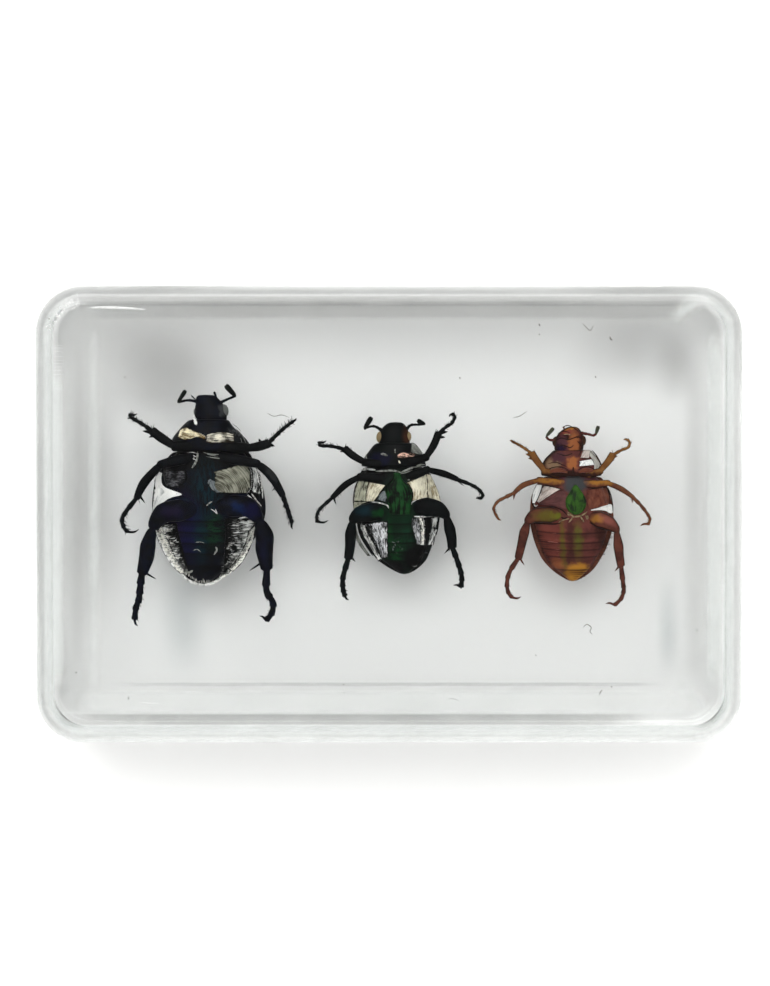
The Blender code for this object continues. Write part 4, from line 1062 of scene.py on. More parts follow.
greenBeetle = {
    "name": "green_beetle", "slot": "green_black_shell", "place": (1.3, 2.4, 11.5),
    "belly": 3, "back": 5, "chestBelly": 2.4, "chestBack": 3.7, "headBelly": 1.5, "headBack": 1.5,
    "head": numbers("12 -1.2 0.7, 11.5 -2 1.3, 10.8 -2.6 1.7, 9.8 -2.9 1.9, 8.6 -2.9 2, 7.4 -2.7 2"),
    "chest": numbers("8.8 -3.2 2.5, 8.2 -3.9 3, 7.4 -4.5 3.6, 6.6 -5.1 4.1, 5.8 -5.5 4.4, 4.9 -5.7 4.6"),
    "hindBody": numbers("5.1 -5.3 4.5, 3.3 -6.1 5.4, 1.7 -6.5 5.9, 0 -6.8 6.5, -1.7 -6.8 6.8, -3.2 -6.6 6.7, "
                        "-4.7 -6.1 6.3, -6.5 -5.5 5.8, -8.2 -4.3 5.2, -9.6 -3.2 4.6, -10.7 -1.7 3.6, "
                        "-11.5 -0.3 2.5, -11.9 0.6 1.6"),
    "sutures": [-4.0, -5.5, -7.0, -8.4, -9.8],
    "eyes": numbers("-2.6 9.6 0.9, 1.6 9.7 0.8"), "scutellum": (-0.5, 3.8, 1.7, 2.2),
    "femurWidths": {"front": [1.4, 1.5, 1.2], "mid": [1.4, 1.5, 1.1], "hind": [2.1, 3, 2.5, 1.1]},
    "tibiaWidths": {"front": [1, 1.2, 1.2], "mid": [0.9, 1.1, 0.8], "hind": [1, 1.8, 1.6, 1.4]},
    "tarsusWidths": {"front": [0.6, 0.5], "mid": [0.6, 0.5], "hind": [0.9, 0.8]},
    "bristles": (18, 0.7, 0.15),
    "legs": {
        "front_left": leg("-0.8 5.7, -3.2 5.5, -5.5 5.7", "-7 6.8, -8.3 7.9", "-10.3 8.2, -12 8.3, -12.2 8.8",
                          "-11.1 9.1", "-8 7.7, -9 7.3"),
        "front_right": leg("0.5 5.5, 2.7 6, 4.9 6.6", "5.7 8.4, 6.5 10.4",
                           "7.6 11.2, 8.5 11.8, 9 12.7, 8.7 13.3", "8.1 12.8", "6.4 9.7, 7.5 9.6",
                           "6.7 10.3, 7.9 10.5"),
        "mid_left": leg("-1.1 3.3, -3.6 3.3, -6.3 3.5", "-8.2 2.1, -10.3 0",
                        "-12 -1.5, -12.6 -2.7, -12.6 -3.6", "-10.8 -3.4", "-10 0.2, -9.6 -0.9"),
        "mid_right": leg("0.8 3, 2.8 3.8, 5.1 4.7", "7.3 3.9, 9.5 3", "11.5 2.2, 12.8 1.4, 13.4 0.5, 13 0",
                         "12.3 0", "9.3 3, 10.4 2"),
        "hind_left": leg("-1.7 -2.1, -4.1 -2.1, -6 -2.5, -7.3 -3.6", "-7.3 -5.4, -7.4 -7.4, -7.7 -9.6",
                         "-8.5 -12.3, -8.5 -14.2, -8.2 -15.3", "-7.6 -15.9", "-7.3 -9, -6.6 -9.9"),
        "hind_right": leg("2.2 -1.4, 4.6 -1.3, 6.5 -1.7, 8 -2.9", "8.2 -4.7, 8.5 -6.2, 8.6 -7.8",
                          "9.6 -10.3, 10.1 -12.3, 10 -13.9", "8.8 -13.6", "8.4 -7.5, 7.4 -8.6"),
    },
    "antennae": [
        ("-2.3 10.6, -3.5 11.3, -4.6 11.2, -5.2 10.9", "-5.2 10.9, -4 12.8", 0.8),
        ("1.4 10.8, 2.1 11.5, 3.3 11.6, 4.3 11.7", "4.4 11.6, 3.1 12.3", 0.7),
    ],
    "shell": {
        "dark": (0.0012, 0.0014, 0.002), "tint": (0.0014, 0.003, 0.0032),
        "front": ((0.0012, 0.0013, 0.0016), (0.0018, 0.0028, 0.003)),
        "mid": ((0.0012, 0.0013, 0.0016), (0.0018, 0.0028, 0.003)),
        "hind": ((0.0012, 0.0014, 0.002), (0.0014, 0.0032, 0.004)), "club": (0.004, 0.005, 0.004),
        "eye": (0.26, 0.19, 0.1),
    },
    "patches": {
        "belly": [spot("black", 0, 4.8, 6.4, 1.5), spot("moss", 0.2, -4, 2.6, 7, edge=0.5),
                  spot("jade", 1.4, -6.6, 0.9, 3.2, edge=0.7, streaks=(0, 2.4, 0.7, 0.42)),
                  spot("green", -0.2, -8, 1.1, 1.7, edge=0.6, streaks=(70, 2.6, 1.6, 0.5)),
                  spot("green", -1.2, -5.2, 0.5, 1.8, edge=0.7, share=0.7),
                  spot("grey", -0.1, -7.4, 0.8, 1.2, streaks=(80, 3, 2, 0.6)),
                  spot("black", 3.4, -9.2, 2.6, 2, edge=0.3), spot("black", -1, -11, 2.2, 1.3, edge=0.3)],
        "chest": [spot("navy", -2.6, 6.2, 1.6, 1, share=0.5)],
        "head": [spot("rust", 1.5, 9.6, 0.5, 1.4, edge=0.8, share=0.12)],
        "front": [],
        "mid": [],
        # the green spot on the left hind thigh is a painted highlight
        "hind": [spot("green", -2.9, -2.2, 1, 0.55, 10, edge=0.7),
                 spot("teal", -5.2, -1.8, 1.2, 0.7, edge=0.8)],
    },
    "films": [
        ("copper", "0 6.3, 0.9 6.35, 1.8 6.45, 2.9 6.6", "0 6.8, 0.8 7.25, 1.8 7.15, 3 6.95", 0.06, 0.1),
        ("haze", "2.1 7.3, 2.8 7, 3.7 6.9", "2.2 8.7, 2.9 8.5, 4 7.1", 0.05, 0),
        ("tan", "-6.1 2.9, -6.5 1.8, -6.7 0.8, -6.8 -0.4", "-4.4 2.6, -4.6 1.8, -4.8 0.8, -4.9 -0.4", 0.07,
         0.1),
        ("straw", "-4.4 2.6, -4.6 1.8, -4.8 0.8, -4.9 -0.45", "-1.8 2.1, -2.4 1.4, -3.1 0.4, -3.7 -0.4", 0.07,
         0.1),
        ("tan", "-6.9 -0.5, -6.9 -1.2, -6.8 -2", "-4.6 -0.5, -5.6 -0.9, -6.5 -1.6", 0.05, 0),
        ("steel", "-2.2 1.3, -3 0.4, -3.2 -0.2", "-1.6 1.4, -1.6 0.4, -1.7 -0.6", 0.06, 0),
        ("straw", "1.5 2.5, 2.2 1.6, 2.4 0.6, 2.3 -0.3", "4.6 3.9, 4.7 2.4, 4.7 1.2, 4.7 0.1", 0.08, 0.15),
        ("straw", "4.6 3.9, 4.7 2.4, 4.7 1.2, 4.8 0.1", "5.2 3.8, 5.8 2.4, 6.4 1, 6.9 -0.9", 0.08, 0.1),
        ("bottle", "-0.5 4, -0.8 3, -1.9 1.8, -1.6 0.4, -1.3 -1, -1.2 -2.4",
         "0.4 4, 0.8 2.8, 1.9 1.9, 2.4 0.6, 2.1 -0.8, 1.9 -2.4", 0.16, 0.3),
        ("mottle", "-4.9 -3.9, -4 -5.6, -3.2 -7.2, -2.4 -9.3", "-1.5 -3.4, -1.5 -5.2, -1.5 -7.2, -1.5 -9.2",
         0.06, 0),
        ("silver", "-6 -3.9, -5.4 -5.6, -4.4 -7.4, -2.9 -9.9", "-5 -4, -4.4 -5.6, -3.5 -7.2, -2.3 -9.5", 0.09,
         0),
        ("haze", "-7 -4.1, -6.6 -5.8, -5.9 -7.4, -4.7 -9", "-6.5 -4.1, -6.1 -5.8, -5.3 -7.4, -4.2 -9", 0.05,
         0),
        ("mottle", "2.2 -3, 2.3 -4.4, 2.7 -5.8, 3.1 -7.2", "3.4 -2.9, 3.6 -4.4, 3.6 -5.8, 3.7 -7.2", 0.06, 0),
        ("creamy", "3.1 -2.9, 3.5 -4.4, 3.6 -5.8, 3.5 -7.3", "3.9 -2.9, 4.2 -4.4, 4.2 -5.8, 4.2 -7.3", 0.08,
         0),
        ("silver", "5.1 -2.9, 5.2 -4.4, 4.9 -5.9, 4.7 -7.3", "6.4 -2.8, 6.3 -4.4, 6 -5.9, 5.7 -7.3", 0.07, 0),
    ],
    "lines": {
        "haze": [(0.36, "-2.6 7, -2.1 6.95, -1.5 6.7"), (0.2, "-0.35 7.8, -0.35 7.4, -0.3 7.1"),
            (0.2, "-4.9 6.9, -4.9 6.5, -4.7 6.2"), (0.3, "-3.4 4.3, -2.2 4.35, -0.6 4.4, 0.6 4.1"),
            (0.36, "0.5 4.1, 2 4.7, 3.4 5.2, 4.3 5.35"), (0.16, "0.4 3.9, 1.4 4.1, 2.4 4.5"),
            (0.15, "-0.2 4.1, -0.5 3.9, -0.65 3.3, -0.75 2.6, -1.1 2.2, -1.8 2.1"),
            (0.18, "0.2 4.1, 0.4 3.6, 0.7 2.9, 1.1 2.3, 1.9 2.15, 2.9 2.3"),
            (0.3, "1.6 2.9, 2.3 3.2, 3.2 3.6"), (0.2, "2.4 -10.6, 2.8 -10.6, 3.1 -10.5")],
        "straw": [(0.24, "0.2 6, 0.35 5.7, 0.5 5.55")],
        "silver": [(0.34, "-5.7 4.5, -4.6 4.6, -3.4 4.5"), (0.12, "-1.6 1, -1.3 0.1, -1.1 -0.8"),
            (0.1, "-0.7 1.8, -0.5 0.6, -0.6 -0.6")],
        # the two short white lines down the middle, near x 0.7, are painted glints
        "white": [(0.2, "-4.2 -0.45, -3 -0.6, -2 -0.85, -1.5 -1.1, -1.35 -1.5"),
            (0.2, "2.1 -0.95, 2.4 -0.5, 3 -0.15, 3.8 0"), (0.2, "0.75 0.3, 0.7 -0.2, 0.75 -0.8"),
            (0.18, "0.65 -1.5, 0.75 -1.8, 0.9 -2.1"),
            (0.26, "2.6 -2.75, 3.6 -2.8, 4.7 -2.75, 5.6 -2.65, 6.9 -2.6")],
        "ink": [(0.26, "0.1 3.9, 0.2 2, 0.2 0, 0.3 -2"), (0.16, "-1.3 1.8, -1 0.6, -0.9 -1.2"),
            (0.2, "1 2, 1.3 0.8, 1.3 -1"), (0.3, "-6.3 -4.1, -5.7 -5.9, -4.9 -7.3, -3.8 -9"),
            (0.34, "-4.9 -4.3, -4.1 -5.9, -3.4 -7.2, -2.5 -9.2"), (0.6, "4.5 -3, 4.6 -4.6, 4.5 -6, 4.4 -7.4"),
            (0.16, "6.6 -2.9, 6.4 -4.4, 6.1 -5.8")],
        # dark outlines along the films' sides: painted shade
        "soil": [(0.16, "4.9 3.8, 5.6 2.4, 6.2 1, 6.8 -0.6"),
            (0.16, "-6.3 2.7, -6.7 1.4, -6.9 -0.2, -6.8 -1.6")],
        "ash": [(0.22, "4.3 -8.5, 4.6 -8.5, 4.8 -8.5")],
    },
    "strokes": [
        ("silver", "-4.4 -3.9, -3.6 -5.6, -2.8 -7.2, -2 -9.4", "-6 -4, -5.3 -5.7, -4.3 -7.4, -2.8 -9.8", 52,
         0.8, 0.13),
        ("silver", "-1.5 -3.6, -1.5 -5.2, -1.5 -7.2, -1.4 -9.2", "-4.6 -4, -3.8 -5.6, -3 -7.2, -2 -9.2", 44,
         0.7, 0.09),
        ("creamy", "2.4 -3, 2.6 -4.4, 2.9 -5.8, 3.2 -7.2", "4.2 -2.9, 4.4 -4.4, 4.4 -5.8, 4.3 -7.3", 40, 0.7,
         0.12),
        ("silver", "4.9 -3, 4.8 -4.4, 4.7 -5.9, 4.5 -7.3", "6.3 -2.9, 6.2 -4.4, 5.9 -5.9, 5.6 -7.3", 22, 0.6,
         0.1),
        ("white", "3.4 0.9, 4.2 0.7, 5 0.5, 5.6 0.3", "3.2 0, 4.4 0, 5.4 -0.3, 6.6 -0.8", 18, 0.8, 0.14),
        ("umber", "-5.8 1, -5 1.2, -4.2 1.1, -3.2 0.9", "-6.4 2.7, -5.2 2.6, -3.8 2.4, -2.4 2", 5, 0.4, 0.05),
        ("white", "2.6 1.4, 3.4 0.9, 4.4 0.5", "3 0.4, 4.2 0.4, 5.6 -0.2", 14, 0.9, 0.1),
        ("grey", "-0.9 2.4, -0.9 0.6, -0.8 -1.4", "1.6 2.4, 1.8 0.6, 1.6 -1.4", 12, 0.4, 0.06),
    ],
}

brownBeetle = {
    "name": "brown_beetle", "slot": "brown_shell", "place": (29.1, 1.6, 11.5),
    "belly": 2.9, "back": 4.8, "chestBelly": 2.3, "chestBack": 3.6, "headBelly": 1.7, "headBack": 1.5,
    "head": numbers("12.1 -0.9 0.3, 11.7 -1.8 0.8, 11.1 -2.5 1.2, 10.1 -3.1 1.4, 8.8 -3.2 1.4, 7.3 -2.9 1"),
    "chest": numbers("8.5 -3.2 2.1, 7.7 -4 3, 7 -4.7 3.6, 6 -5.1 4, 5.1 -5.3 4.2, 4.2 -5.2 4.3"),
    "hindBody": numbers("4.4 -5 4.1, 2.8 -6.1 5.1, 1.1 -6.8 5.7, -0.6 -7 6, -2.5 -7.1 6.2, -4.1 -6.8 6, "
                        "-5.7 -6.4 5.5, -7.3 -5.8 4.9, -8.7 -5.1 4.1, -10 -4 3.3, -11.1 -2.7 2.2, "
                        "-11.8 -1.5 1, -12.2 -0.8 0.2"),
    "sutures": [-4.7, -6.2, -7.3, -8.4, -10.4],
    "eyes": numbers("-2.9 9.7 0.8, 1.2 9.9 0.8"), "scutellum": (-0.5, 3.2, 1.6, 2),
    "femurWidths": {"front": [1.3, 1.3, 1], "mid": [1.2, 1.3, 0.9], "hind": [1.7, 2.6, 2.3, 0.9]},
    "tibiaWidths": {"front": [0.9, 1.1, 1.2], "mid": [0.8, 0.9, 0.6], "hind": [0.8, 1.6, 1.4, 1.2]},
    "tarsusWidths": {"front": [0.5, 0.4], "mid": [0.6, 0.4], "hind": [0.8, 0.6]},
    "femurTaper": 0.4,
    "bristles": (10, 0.55, 0.12),
    "legs": {
        "front_left": leg("-0.9 4.7, -3 4.7, -5.1 5.2", "-6 6.8, -6.8 8", "-8.2 8.9, -9.7 9.7", "-10.2 9.9",
                          "-6.8 7.6, -7.7 7.8", "-6.3 7.1, -7.3 7.1"),
        "front_right": leg("0.6 4.7, 2.5 4.7, 4.3 5.2", "5.2 6.6, 6 7.8", "7.3 8.4, 8.3 8.8, 8.6 9.5, 8.3 10",
                           "7.6 10", "5.9 7.5, 6.7 7.4", "5.4 6.9, 6.2 6.8"),
        "mid_left": leg("-0.8 3.2, -3.5 3.4, -6 3.8", "-8.1 2.9, -9.7 1.5",
                        "-11.1 0.9, -12.1 0.3, -12.7 -0.8, -12.2 -2", "-11.5 -2.6", "-9.4 1.7, -9.6 0.6"),
        "mid_right": leg("0.6 3.2, 3 3.1, 5.5 3.3", "7.3 2.3, 9.3 0.9",
                         "10.4 -0.3, 11.4 -1.6, 11.8 -2.4, 11.6 -3.2", "10.3 -3.5", "9 1.1, 9 0.1"),
        "hind_left": leg("-1.3 -1.9, -3.8 -1.7, -6.3 -1.9, -7.7 -3", "-7.9 -4.4, -8.3 -6.2, -8.9 -8.8",
                         "-10.2 -10.7, -10.6 -12.5, -10.4 -13.9, -9.8 -14.7", "-8.4 -14.6",
                         "-8.7 -8.4, -7.9 -9.6"),
        "hind_right": leg("1.6 -1.9, 3.6 -2.4, 5.4 -3.1, 6.8 -4.3", "6.8 -6.5, 7 -8.1, 7.3 -9.9",
                          "7.6 -12.5, 7.7 -13.6, 7.3 -14.9, 6.3 -15.9", "4.9 -15.7", "7.1 -9.6, 6.3 -10.6"),
    },
    "antennae": [
        ("-2.6 10, -3.9 10, -4.5 10.5", "-4.5 10.5, -3.3 11.9", 0.6),
        ("0.7 11.1, 2.1 10.9, 2.9 10.7, 3.4 11", "3.3 10.9, 3.7 12.2", 0.6),
    ],
    "palps": [("-1.6 11.6, -1.8 12.1", 0.3), ("0.2 11.3, 0.7 11.8", 0.3)],
    "shell": {
        # edge: painted shade where the shell turns away from the view
        "dark": (0.088, 0.025, 0.021), "tint": (0.138, 0.04, 0.032), "edge": (0.018, 0.006, 0.004),
        "front": ((0.15, 0.056, 0.017), (0.235, 0.1, 0.027)),
        "mid": ((0.105, 0.034, 0.018), (0.175, 0.064, 0.027)),
        "hind": ((0.062, 0.019, 0.014), (0.12, 0.036, 0.024)),
        "wing": ((0.085, 0.026, 0.016), (0.13, 0.042, 0.024)), "club": (0.055, 0.055, 0.036),
        "eye": (0.05, 0.022, 0.012),
    },
    "patches": {
        "belly": [spot("plum", 0, 4, 5, 1, share=0.8), spot("ash", 0, 3, 1.7, 1.5, edge=0.3),
                  spot("brick", -4, -6.2, 2.6, 3.2, 20, share=0.5),
                  spot("umber", 4.6, -6.2, 0.9, 3.4, 18, share=0.7),
                  spot("umber", -6, -5.6, 0.4, 2.6, 20, share=0.6),
                  spot("olive", -1.9, -6.6, 0.42, 3.4, 4, edge=0.8),
                  spot("umber", -0.6, -6.4, 0.6, 3, edge=0.7, share=0.6),
                  spot("olive", 0.5, -6, 0.6, 2.6, edge=0.8, share=0.8),
                  spot("leaf", 0.5, -5.4, 0.5, 1.8, edge=0.8, share=0.22),
                  spot("amber", 0.5, -10.9, 2, 1.5, edge=0.3), spot("rust", -2.8, -9.6, 1, 1.2, share=0.5)],
        "chest": [spot("sand", -3.6, 6.6, 1.3, 1.2, 20, share=0.55),
                  spot("umber", -0.2, 4.6, 4.6, 0.5, edge=0.4), spot("plum", -2.6, 7.2, 1.2, 0.8),
                  spot("rust", -0.4, 6.4, 0.8, 1)],
        "head": [spot("brick", -1.6, 11.2, 1.2, 0.5, 15), spot("amber", -0.4, 11.9, 1.4, 0.3, 5, share=0.7),
                 spot("umber", -1.2, 10.4, 0.8, 0.35, -20), spot("plum", -2.2, 9.6, 0.9, 1),
                 spot("violet", -2.4, 8.4, 1, 0.9, -20, share=0.9), spot("umber", -2.1, 7.6, 1.4, 0.5, 15),
                 spot("umber", -0.9, 9, 0.9, 0.18, 10), spot("rust", -0.1, 9, 0.9, 2.2, share=0.8),
                 spot("umber", 1, 8.6, 0.35, 1.4, share=0.7),
                 spot("umber", 0.6, 10.4, 0.9, 0.14, 20, share=0.7)],
        "front": [spot("umber", -0.3, 4.5, 4.6, 0.5, edge=0.3),
                  spot("umber", -9.6, 9, 1.6, 0.9, 40, share=0.5)],
        "mid": [spot("amber", -4, 3.6, 2.2, 0.3, edge=0.8, share=0.7),
                spot("amber", 4, 3.4, 2, 0.3, edge=0.8, share=0.7), spot("ash", 0, 3.3, 1.8, 0.9, edge=0.4)],
        "hind": [spot("lime", -3.1, -1.9, 1, 0.5, edge=0.7), spot("olive", -4.6, -1.9, 1.6, 0.8, edge=0.8),
                 spot("rose", 4.9, -2.4, 1.6, 0.6, -30, edge=0.8),
                 spot("amber", 3.4, -2.3, 0.9, 0.6, edge=0.8, share=0.6)],
    },
    "films": [
        ("mauve", "-4.9 2.9, -5.3 1.8, -5.9 0.3", "-2.2 2.3, -3.6 1.5, -5.7 0.1", 0.07, 0),
        ("white", "-6 3, -6.4 2.1, -6.6 1.1, -6.6 0.1", "-5 2.9, -5.4 1.7, -5.9 0.5, -6.3 0", 0.06, 0),
        ("plum", "-1.7 2.2, -2.8 1.9, -4.2 1, -5.6 0.15", "-0.8 -0.7, -1.8 -0.8, -3.4 -0.35, -5.5 -0.05",
         0.08, 0.15),
        ("russet", "1.9 2.1, 1.9 1, 2 0, 2.2 -0.8", "4.9 2.5, 5.3 1.4, 5.4 0.4, 5.2 -0.15", 0.08, 0.15),
        ("white", "2.3 -0.95, 3.6 -0.6, 4.8 -0.15, 5.5 0, 6 -0.3",
         "2.4 -1.05, 3.8 -1, 4.8 -1.15, 5.6 -1.6, 6 -1.4", 0.06, 0),
        ("fern", "-0.05 2.9, -0.7 1.9, -1.35 0.8, -1.4 -0.2, -1 -1, -0.2 -1.6",
         "0.15 2.9, 0.9 1.9, 1.55 0.8, 1.6 -0.2, 1.2 -1, 0.4 -1.6", 0.14, 0.3),
        ("pearl", "2.6 8.3, 3.4 7.3, 4 6.1, 3.4 5.3", "2 7.9, 2.5 7.2, 2.9 6.4, 3 5.4", 0.05, 0),
        ("mauve", "1.2 8.3, 1 7.6, 0.8 7.2", "2.5 8.4, 2.3 7.8, 2.2 7.1", 0.05, 0),
        ("white", "0.6 6.6, 0.7 6.3, 0.6 5.9", "2.6 6.95, 2.9 6.6, 3 6.1", 0.06, 0.05),
        ("russet", "-4.2 5, -3.4 5.5, -2.4 5.6, -1.2 5.1", "-4.1 4.8, -3.2 4.9, -2.2 4.9, -1.2 4.8", 0.12,
         0.25),
        ("russet", "0.5 5.1, 1.3 5.6, 2.2 5.6, 3.2 5.1", "0.6 4.8, 1.4 4.9, 2.2 4.9, 3.2 4.8", 0.12, 0.25),
    ],
    "lines": {
        # dark outlines between parts and across films: painted shade
        "soil": [(0.1, "-6 2.9, -6.05 2, -6.3 1.2, -6.5 0.5"), (0.1, "-5.1 2.7, -5.5 1.7, -6 0.6"),
            (0.22, "-6.7 1.1, -6.6 0, -6.4 -0.5, -6 -0.6"), (0.14, "-4.9 3, -3.4 2.6, -2 2.3"),
            (0.14, "-5.7 0.1, -4.2 1.05, -2.8 1.95, -1.8 2.2"),
            (0.26, "-5.6 -0.1, -4.6 -0.15, -3.2 -0.4, -2 -1, -1.3 -1.7"),
            (0.16, "2 2.1, 3.4 2.55, 4.9 2.6, 5.5 1.2, 5.5 0.1"), (0.12, "2.2 -0.85, 3.6 -0.5, 5.1 -0.1"),
            (0.16, "5.2 2.6, 5.7 1.3, 5.95 0, 6.05 -1.4"), (0.16, "-4.6 5.2, -3.4 5.7, -2.2 5.75, -1 5.3"),
            (0.16, "0.4 5.3, 1.4 5.75, 2.4 5.7, 3.4 5.2"), (0.14, "-4.2 6.3, -3 6.5, -2 6.1, -1.2 5.8"),
            (0.14, "1 7.15, 1.8 7.1, 2.2 7.2"), (0.18, "2.7 8.4, 3.5 7.4, 4.1 6.2, 4.2 5.4"),
            (0.18, "-3.4 8, -4.4 7.2, -5 6.2, -5.2 5.4"), (0.3, "-0.3 5.8, -0.3 5.2, -0.2 4.6"),
            (0.2, "0.4 2.2, 0.4 1, 0.4 -0.4, 0.3 -1.5"), (0.3, "-2.2 -2.1, -1.7 -2.3, -1.2 -2.1"),
            (0.22, "-7 -3, -5.2 -3.1, -3.4 -3.15, -2.2 -3"), (0.22, "2.2 -2.9, 3.2 -3.4, 4.4 -4, 6.2 -4.2"),
            (0.14, "-2.7 11, -1.7 11.35, -0.7 11.1"),
            (0.16, "-3 9.9, -2.1 10.3, -1 10.05, 0.3 10.45, 1.1 10.2"),
            (0.16, "-3 8.8, -1.9 9.2, -0.8 8.8, -0.2 9.2"), (0.16, "0.3 9.9, 0.9 9.2, 0.9 8.2, 0.5 7.4"),
            (0.18, "-2.8 7.9, -1.5 7.55, -0.4 7.9"), (0.16, "-1.9 12, -1.1 12.25, -0.2 11.9, 0.6 11.3")],
        "white": [(0.18, "-6.4 -0.1, -6.1 -0.4, -5.8 -0.2")],
        "sand": [(0.26, "-1.3 -1.2, -0.8 -1.6, -0.2 -1.95, 0.5 -1.95, 1.2 -1.7, 1.9 -1.2"),
            (0.24, "-0.2 -1.9, -0.6 -2.4, -1 -2.9"), (0.24, "0.8 -1.9, 1.1 -2.4, 1.4 -2.9"),
            (0.18, "-2.6 -2.9, -1.8 -2.5, -0.9 -2.3"), (0.4, "-1 -1.3, -1 -1.6, -0.9 -1.9"),
            (0.4, "1.6 -1.7, 1.9 -2.1, 1.8 -2.4"), (0.12, "-2 10.8, -1.2 10.9, -0.4 10.7")],
        "rose": [(0.16, "-4.3 -5.9, -3.6 -5.95, -2.6 -6.1")],
    },
    "strokes": [
        # the first three kinds of strokes are dark fine creases of painted shade
        ("soil", "-1.2 0.6, -2.4 0.8, -3.8 0.5, -5.2 0.1", "-1.4 2.2, -2.6 1.9, -3.6 1.4, -4.8 0.7", 12, 0.7,
         0.06),
        ("soil", "2.4 0.2, 3.4 0.6, 4.4 0.8, 5.2 0.6", "2 2, 3.2 2.4, 4.2 2.5, 5 2.4", 14, 0.7, 0.06),
        ("soil", "-0.9 -10.3, -0.9 -11, -0.7 -11.6", "2.4 -10.1, 2.2 -11, 1.4 -11.8", 9, 1, 0.11),
        ("umber", "-1.4 1.2, -1.1 0.4, -0.9 -0.8", "1.5 1.2, 1.2 0.4, 1 -0.8", 12, 0.4, 0.07),
        ("rose", "-5.4 -4.4, -4.6 -6.6, -3.6 -8.8", "-2.6 -4.4, -2.4 -6.6, -2.2 -8.8", 12, 0.5, 0.06),
        ("umber", "2 -4.6, 2 -7, 1.8 -9.4", "6.6 -4.6, 5.4 -7, 3.8 -9.4", 26, 0.6, 0.07),
        ("umber", "-2.2 -4.6, -2.2 -7, -2 -9.4", "-6.8 -4.6, -5.6 -7, -4 -9.4", 26, 0.6, 0.07),
    ],
}

for beetle in (blueBeetle, greenBeetle, brownBeetle):
    growBeetle(beetle)

resinBlock = {
    "length": 110.0, "width": 71.3, "height": 22.0,
    "cornerRadius": 7.5, "edgeRadius": 2.8, "baseRadius": 1.8, "taper": 1.0,
    "cornerSegments": 14, "edgeSegments": 12,
    "refraction": 1.5, "tint": (0.94, 0.955, 0.95), "absorption": 25.0,
}


def makeResinBlock():
    size = resinBlock
    startPiece()
    bpy.ops.mesh.primitive_cube_add(size=1, location=(0, 0, size["height"] / 2))
    block = bpy.context.object
    block.name = "resin_block"
    block.scale = (size["length"], size["width"], size["height"])
    bpy.ops.object.transform_apply()
    bpy.ops.object.mode_set(mode="EDIT")
    bpy.ops.mesh.select_mode(type="EDGE")
    pickEdges(lambda edge: abs(edge.verts[0].co.z - edge.verts[1].co.z) > 1)
    bpy.ops.mesh.bevel(offset=size["cornerRadius"], segments=size["cornerSegments"])
    mesh = bmesh.from_edit_mesh(block.data)
    radius = size["cornerRadius"]
    for vertex in mesh.verts:           # the walls lean in a little towards the base, as cast
        if vertex.co.z < 1:
            x = math.copysign(size["length"] / 2 - radius, vertex.co.x)
            y = math.copysign(size["width"] / 2 - radius, vertex.co.y)
            arc = Vector((vertex.co.x - x, vertex.co.y - y, 0)) * (1 - size["taper"] / radius)
            vertex.co = (x + arc.x, y + arc.y, vertex.co.z)
    bmesh.update_edit_mesh(block.data)
    for side, radius in ((1, size["edgeRadius"]), (-1, size["baseRadius"])):
        pickEdges(lambda edge: any(face.normal.z * side > 0.9 and len(face.verts) > 20
                                   for face in edge.link_faces))
        bpy.ops.mesh.bevel(offset=radius, segments=size["edgeSegments"])
    bpy.ops.mesh.select_mode(type="VERT")
    closeUp(block)
    applyModifier(block, "WEIGHTED_NORMAL", keep_sharp=True)
    material, tree, shader = startMaterial("clear resin")
    feed(tree, shader, {"Base Color": (1, 1, 1, 1), "Roughness": 0.0, "IOR": size["refraction"],
                        "Transmission Weight": 1.0})
    absorb = addNode(tree, "VolumeAbsorption", {"Color": paint(size["tint"]), "Density": size["absorption"]})
    feed(tree, tree.nodes["Material Output"], {"Volume": absorb.outputs[0]})
    block.data.materials.append(material)
    settle(block, (0, 0, 0))
    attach(block, "root")
    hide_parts("resin_lower_half", "resin_upper_half")
